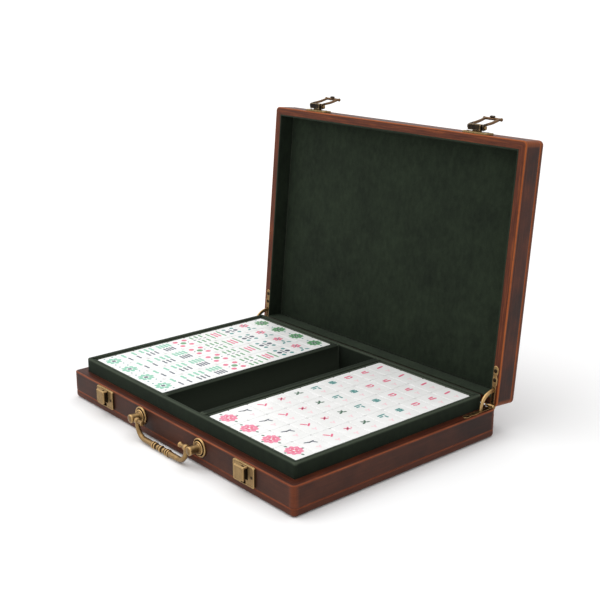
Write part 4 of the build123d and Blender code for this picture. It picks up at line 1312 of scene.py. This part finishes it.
def bailForm():
    # the leg drops, bends through a quarter circle and runs into the grip; the radius grows from the
    # pin to the grip and takes a bead wherever the grip has a ring
    look = handleLook
    leg = look["halfSpan"] - look["legInboard"]
    grip, bend = look["axisUp"] - look["drop"], look["bend"]
    angle = np.linspace(0, np.pi / 2, 22)
    arc = np.stack([leg - bend + bend * np.cos(angle), grip + bend - bend * np.sin(angle)], 1)
    drop = np.stack([np.full(4, leg), np.linspace(look["axisUp"], grip + bend + 0.4, 4)], 1)
    across = np.arange(leg - bend - 0.5, -0.01, -0.25)
    run = np.stack([across, np.full(len(across), grip)], 1)
    half = np.vstack([drop, arc, run])
    travelled = np.concatenate([[0], np.cumsum(np.linalg.norm(np.diff(half, axis=0), axis=1))])
    swell = np.clip(travelled / look["swellLength"], 0, 1)
    radius = look["legRadius"] + (look["gripRadius"] - look["legRadius"]) * swell ** 1.3
    out, lower = half[:, 0], half[:, 1] < grip + 0.1
    radius = np.where((out < look["neckHalf"]) & lower, look["neck"], radius)
    for place, size, width in look["rings"]:
        ball = size * np.sqrt(np.clip(1 - ((out - place) / width) ** 2 * 0.55, 0, 1))
        radius = np.where(lower & (np.abs(out - place) < width), np.maximum(radius, ball), radius)
    path = np.vstack([half, half[-2::-1] * [-1, 1]])
    radius = np.concatenate([radius, radius[-2::-1]])
    circle = np.arange(20) * 2 * np.pi / 20
    section = np.stack([np.cos(circle), np.sin(circle)], 1)
    forms = [sweepForm(path, section, radius)]
    inner, outer = look["halfSpan"] - look["finialFrom"], look["halfSpan"] + look["pinInPost"]
    tip = inner - look["finialLength"]
    pin, stem, flare, boss = look["pin"], look["stem"], look["finial"], look["boss"]
    line = [(0, tip - 0.3), (flare * 0.7, tip - 0.2), (flare, tip + 0.2), (flare, tip + 0.8),
            (stem + 0.1, inner - 0.6), (stem, inner + 0.6), (stem, leg - 2.3), (boss * 0.8, leg - 1.9),
            (boss, leg - 1.2), (boss, leg + 1.2), (boss * 0.8, leg + 1.9), (pin, leg + 2.4),
            (pin, outer), (0, outer)]
    for sign in (-1, 1):
        forms.append(moved(spinForm(np.array(line) * [1, sign], 24), (0, look["axisUp"], 0), (2, 0, 1)))
    return joined(forms)


def makeHandle():
    look = handleLook
    grip = look["axisUp"] - look["drop"]

    def necks(points):
        # painted shade between the rings of the grip
        away = np.hypot(frontFace - points[:, 1] - look["axisOut"], points[:, 2] - grip)
        deep = np.clip((look["neck"] + 1.0 - away) / 0.8, 0, 1)
        return {"shade": (np.abs(points[:, 0]) < look["darkHalf"]) * deep}

    def foot(points):
        # painted contact shadow where the rosette meets the leather, and dark in the hollow between its beads
        out = frontFace - points[:, 1]
        radius = np.hypot(np.abs(points[:, 0]) - look["halfSpan"], points[:, 2] - look["axisUp"])
        groove = (radius > look["hollow"][0]) & (radius < look["hollow"][1])
        return {"shade": np.maximum(out < 0.7, groove) * 0.9}

    for side, sign in sides.items():
        x = sign * look["halfSpan"]
        makePiece("rosette_" + side + ".brass", onFront(rosetteForm(), x, look["axisUp"]), brass, "base",
                  marks=foot)
        makePiece("handle_post_" + side + ".brass", onFront(postForm(), x, look["axisUp"]), brass, "base")
    form = onFront(moved(bailForm(), (0, 0, look["axisOut"])), 0, 0)
    makePiece("handle_bail.brass", form, brass, "bail", marks=necks)


def leafOutline():
    # the leaf seen from above its rim, its length towards +Y and its pin at the origin: a round end,
    # a waist between the screws and a narrower neck
    look = hingeLook
    half, neck, length = look["leafWidth"] / 2, look["neckWidth"] / 2, look["leafLength"]
    angle = np.linspace(0, np.pi, 13)
    tip = np.stack([half * np.cos(angle), length - half + half * np.sin(angle)], 1)
    middle = sum(look["screwsAt"]) / 2
    reach = np.linspace(-3.2, 3.2, 9)
    dent = half - look["waist"] * np.cos(reach / 3.2 * np.pi / 2) ** 2
    right = np.stack([dent, middle + reach], 1)
    shoulder = look["neckLength"]
    side = np.vstack([[neck, 2.7], [neck, shoulder - 0.8], [neck + 0.25, shoulder - 0.25],
                      [half - 0.3, shoulder], [half, shoulder + 0.4], right])
    return np.vstack([side, tip, side[::-1] * [-1, 1]])


def leafForm(eyeInboard):
    # leaf, the eye round one half of the pin and the lug between them, on the base's right side
    look = hingeLook
    top, thickness = rimHeight + look["proud"], look["leafThickness"]
    profile = [(0.2, -thickness), (0, 0.2 - thickness), (0, -0.3), (0.1, -0.1), (0.3, 0), (0.6, 0)]
    plate = moved(plateForm(leafOutline(), profile), (hingeX, hinge[1], top), flip=(1, -1, 1))
    low, high = (-look["leafWidth"] / 2, -0.15) if eyeInboard else (0.15, look["leafWidth"] / 2)
    eye = cylinderX(look["eye"], hingeX + low, hingeX + high, hinge[1], hinge[2])
    lug = boxForm((hingeX + low, hinge[1] - 3, rimHeight - 1.1), (hingeX + high, hinge[1] - 1, top - 0.05))
    return joined([plate, eye, lug])


def stayForm():
    # a flat bar bent to an arc about the pin, its ends broadened into heads, as it lies with the lid
    # open
    look = hingeLook
    reach = np.radians(look["stayReach"])
    angle = np.linspace(-reach, reach, 61)
    path = np.stack([look["stayRadius"] * np.cos(angle), look["stayRadius"] * np.sin(angle)], 1)
    section = rounded(rectangle(look["stayWidth"], look["stayThickness"]), 0.45, 3)
    points, faces = sweepForm(path, section)
    turn = np.abs(np.arctan2(points[:, 1], points[:, 0]))
    isHead = np.clip((turn - reach + np.radians(look["stayHeadAngle"])) / 0.03, 0, 1)
    points[:, 2] *= 1 + isHead * (look["stayHead"] / look["stayThickness"] - 1)
    middle = np.pi - openAngle / 2
    y = hinge[1] + points[:, 0] * np.cos(middle) - points[:, 1] * np.sin(middle)
    z = hinge[2] + points[:, 0] * np.sin(middle) + points[:, 1] * np.cos(middle)
    return np.stack([hingeX + points[:, 2], y, z], 1), faces


def leafMarks(isLid):
    # painted shade in the screws' countersinks
    look = hingeLook

    def marks(points):
        place = flippedToLid((shut(points), []))[0] if isLid else points
        across = np.abs(place[:, 0]) - hingeX
        away = [np.hypot(across, place[:, 1] - hinge[1] + distance) for distance in look["screwsAt"]]
        sunk = place[:, 2] < rimHeight + look["proud"] - 0.2
        return {"hollow": (sunk & (np.min(away, 0) < look["sinkRadius"] - 0.2)) * 1.0}
    return marks


def makeHinges():
    look = hingeLook
    half, top, sink = look["slotWidth"] / 2, rimHeight + look["proud"], look["sinkDepth"]
    slot = boxForm((-half, look["slotStart"], -4), (half, look["slotEnd"], 4))
    slot = inverted(moved(slot, (hingeX, hinge[1], rimHeight), flip=(1, -1, 1)))
    seat = [(0, -sink), (look["sinkRadius"] - 0.25, -sink), (look["sinkRadius"], 0.3), (0, 0.3)]
    ring = spinForm(seat, 24)
    head = moved(screwForm(look), (0, 0, -look["screwSeat"]))
    places = [(hingeX, hinge[1] - distance, top) for distance in look["screwsAt"]]
    cuts = [slot] + [moved(ring, place) for place in places]
    heads = [moved(head, place) for place in places]
    screws = {"base": [], "lid": []}
    for side, sign in sides.items():
        for body in screws:
            isLid = body == "lid"

            def inPlace(form):
                form = onSide(form, sign)
                return opened(flippedToLid(form)) if isLid else form

            makePiece(body + "_leaf_" + side + ".brass", inPlace(leafForm(not isLid)), brass, body,
                      cutters=[inPlace(cut) for cut in cuts], marks=leafMarks(isLid), fine=1.5)
            screws[body] += [inPlace(form) for form in heads]
        makePiece("stay_" + side + ".brass", onSide(stayForm(), sign), pinBrass, "stay_" + side)
    for body, forms in screws.items():
        makePiece(body + "_leaf_screws.brass", joined(forms), darkScrew, body)


makeKeepers()
makeHasps()
makeHandle()
makeHinges()
print("brass made")


# the finishes of the CAD pieces that stay
finishes = {name: board for name in frame["nodes"] if name.endswith("_board")}
finishes.update({"hinge_pins": pinBrass, "hasp_pins": pinBrass, "handle_nuts": darkScrew})
for name, finish in finishes.items():
    materials = frame["nodes"][name].data.materials
    materials.clear()
    materials.append(finish)


# the floor's half width and the camera's places are in millimetres, but the farthest distance that
# the camera sees is in metres; a sun has its place, its strength and the angle that its disc fills
stageLook = {
    "floorHalf": 30000.0, "floorColour": rgb(244, 244, 244), "floorGlow": 0.03, "worldLight": 0.62,
    "suns": {"overhead": ((-0.15, 0.1, 1.0), 1.25, 75), "fromLeft": ((-0.9, -1.1, 1.4), 1.0, 70)},
    "eye": (764.6, -623.9, 416.7), "aim": (16.1, 18.1, 119.8), "lens": 64.28, "sensor": 36.0,
    "farthest": 50,
}


def makeFloor():
    corners = np.array([(-1, -1, 0), (1, -1, 0), (1, 1, 0), (-1, 1, 0)])
    floor = added("floor", (corners * stageLook["floorHalf"], [(0, 1, 2, 3)]))
    paint = Paint("paleFloor", Roughness=0.9, Specular_IOR_Level=0.0)
    floor.data.materials.append(paint.finish(stageLook["floorColour"]))
    plain = Flow(paint, paint.shader.outputs[0])
    glow = paint.node("ShaderNodeEmission", {}, {"Strength": stageLook["floorGlow"]})
    lit = paint.node("ShaderNodeAddShader", {}, {0: plain, 1: glow})
    paint.shadeBySight(plain, lit, "Material Output")


def makeRoom():
    # a world that lights softly and is seen as plain white
    world = bpy.data.worlds.new("paleRoom")
    bpy.context.scene.world = world
    nodes = Nodes(world)
    dim = nodes.tree.nodes["Background"]
    dim.inputs["Color"].default_value = (1, 1, 1, 1)
    dim.inputs["Strength"].default_value = stageLook["worldLight"]
    white = nodes.node("ShaderNodeBackground", {}, {"Color": (1, 1, 1, 1)})
    nodes.shadeBySight(Flow(nodes, dim.outputs[0]), white, "World Output")


def facing(item, place, towards):
    # a lamp or a camera at a place, looking at a point
    item.location = place
    item.rotation_euler = (towards - place).to_track_quat("-Z", "Y").to_euler()


def makeSuns():
    for name, (place, strength, spread) in stageLook["suns"].items():
        data = bpy.data.lights.new(name, "SUN")
        data.energy, data.angle = strength, np.radians(spread)
        facing(linked(name, data), Vector(place), Vector())


def makeCamera():
    look = stageLook
    data = bpy.data.cameras.new("camera")
    data.lens, data.sensor_width, data.clip_end = look["lens"], look["sensor"], look["farthest"]
    camera = linked("camera", data)
    facing(camera, Vector(look["eye"]) / 1000, Vector(look["aim"]) / 1000)
    bpy.context.scene.camera = camera


makeFloor()
makeRoom()
makeSuns()
makeCamera()
bpy.context.scene.view_settings.view_transform = "Standard"
print("stage made")

bpy.context.view_layer.update()
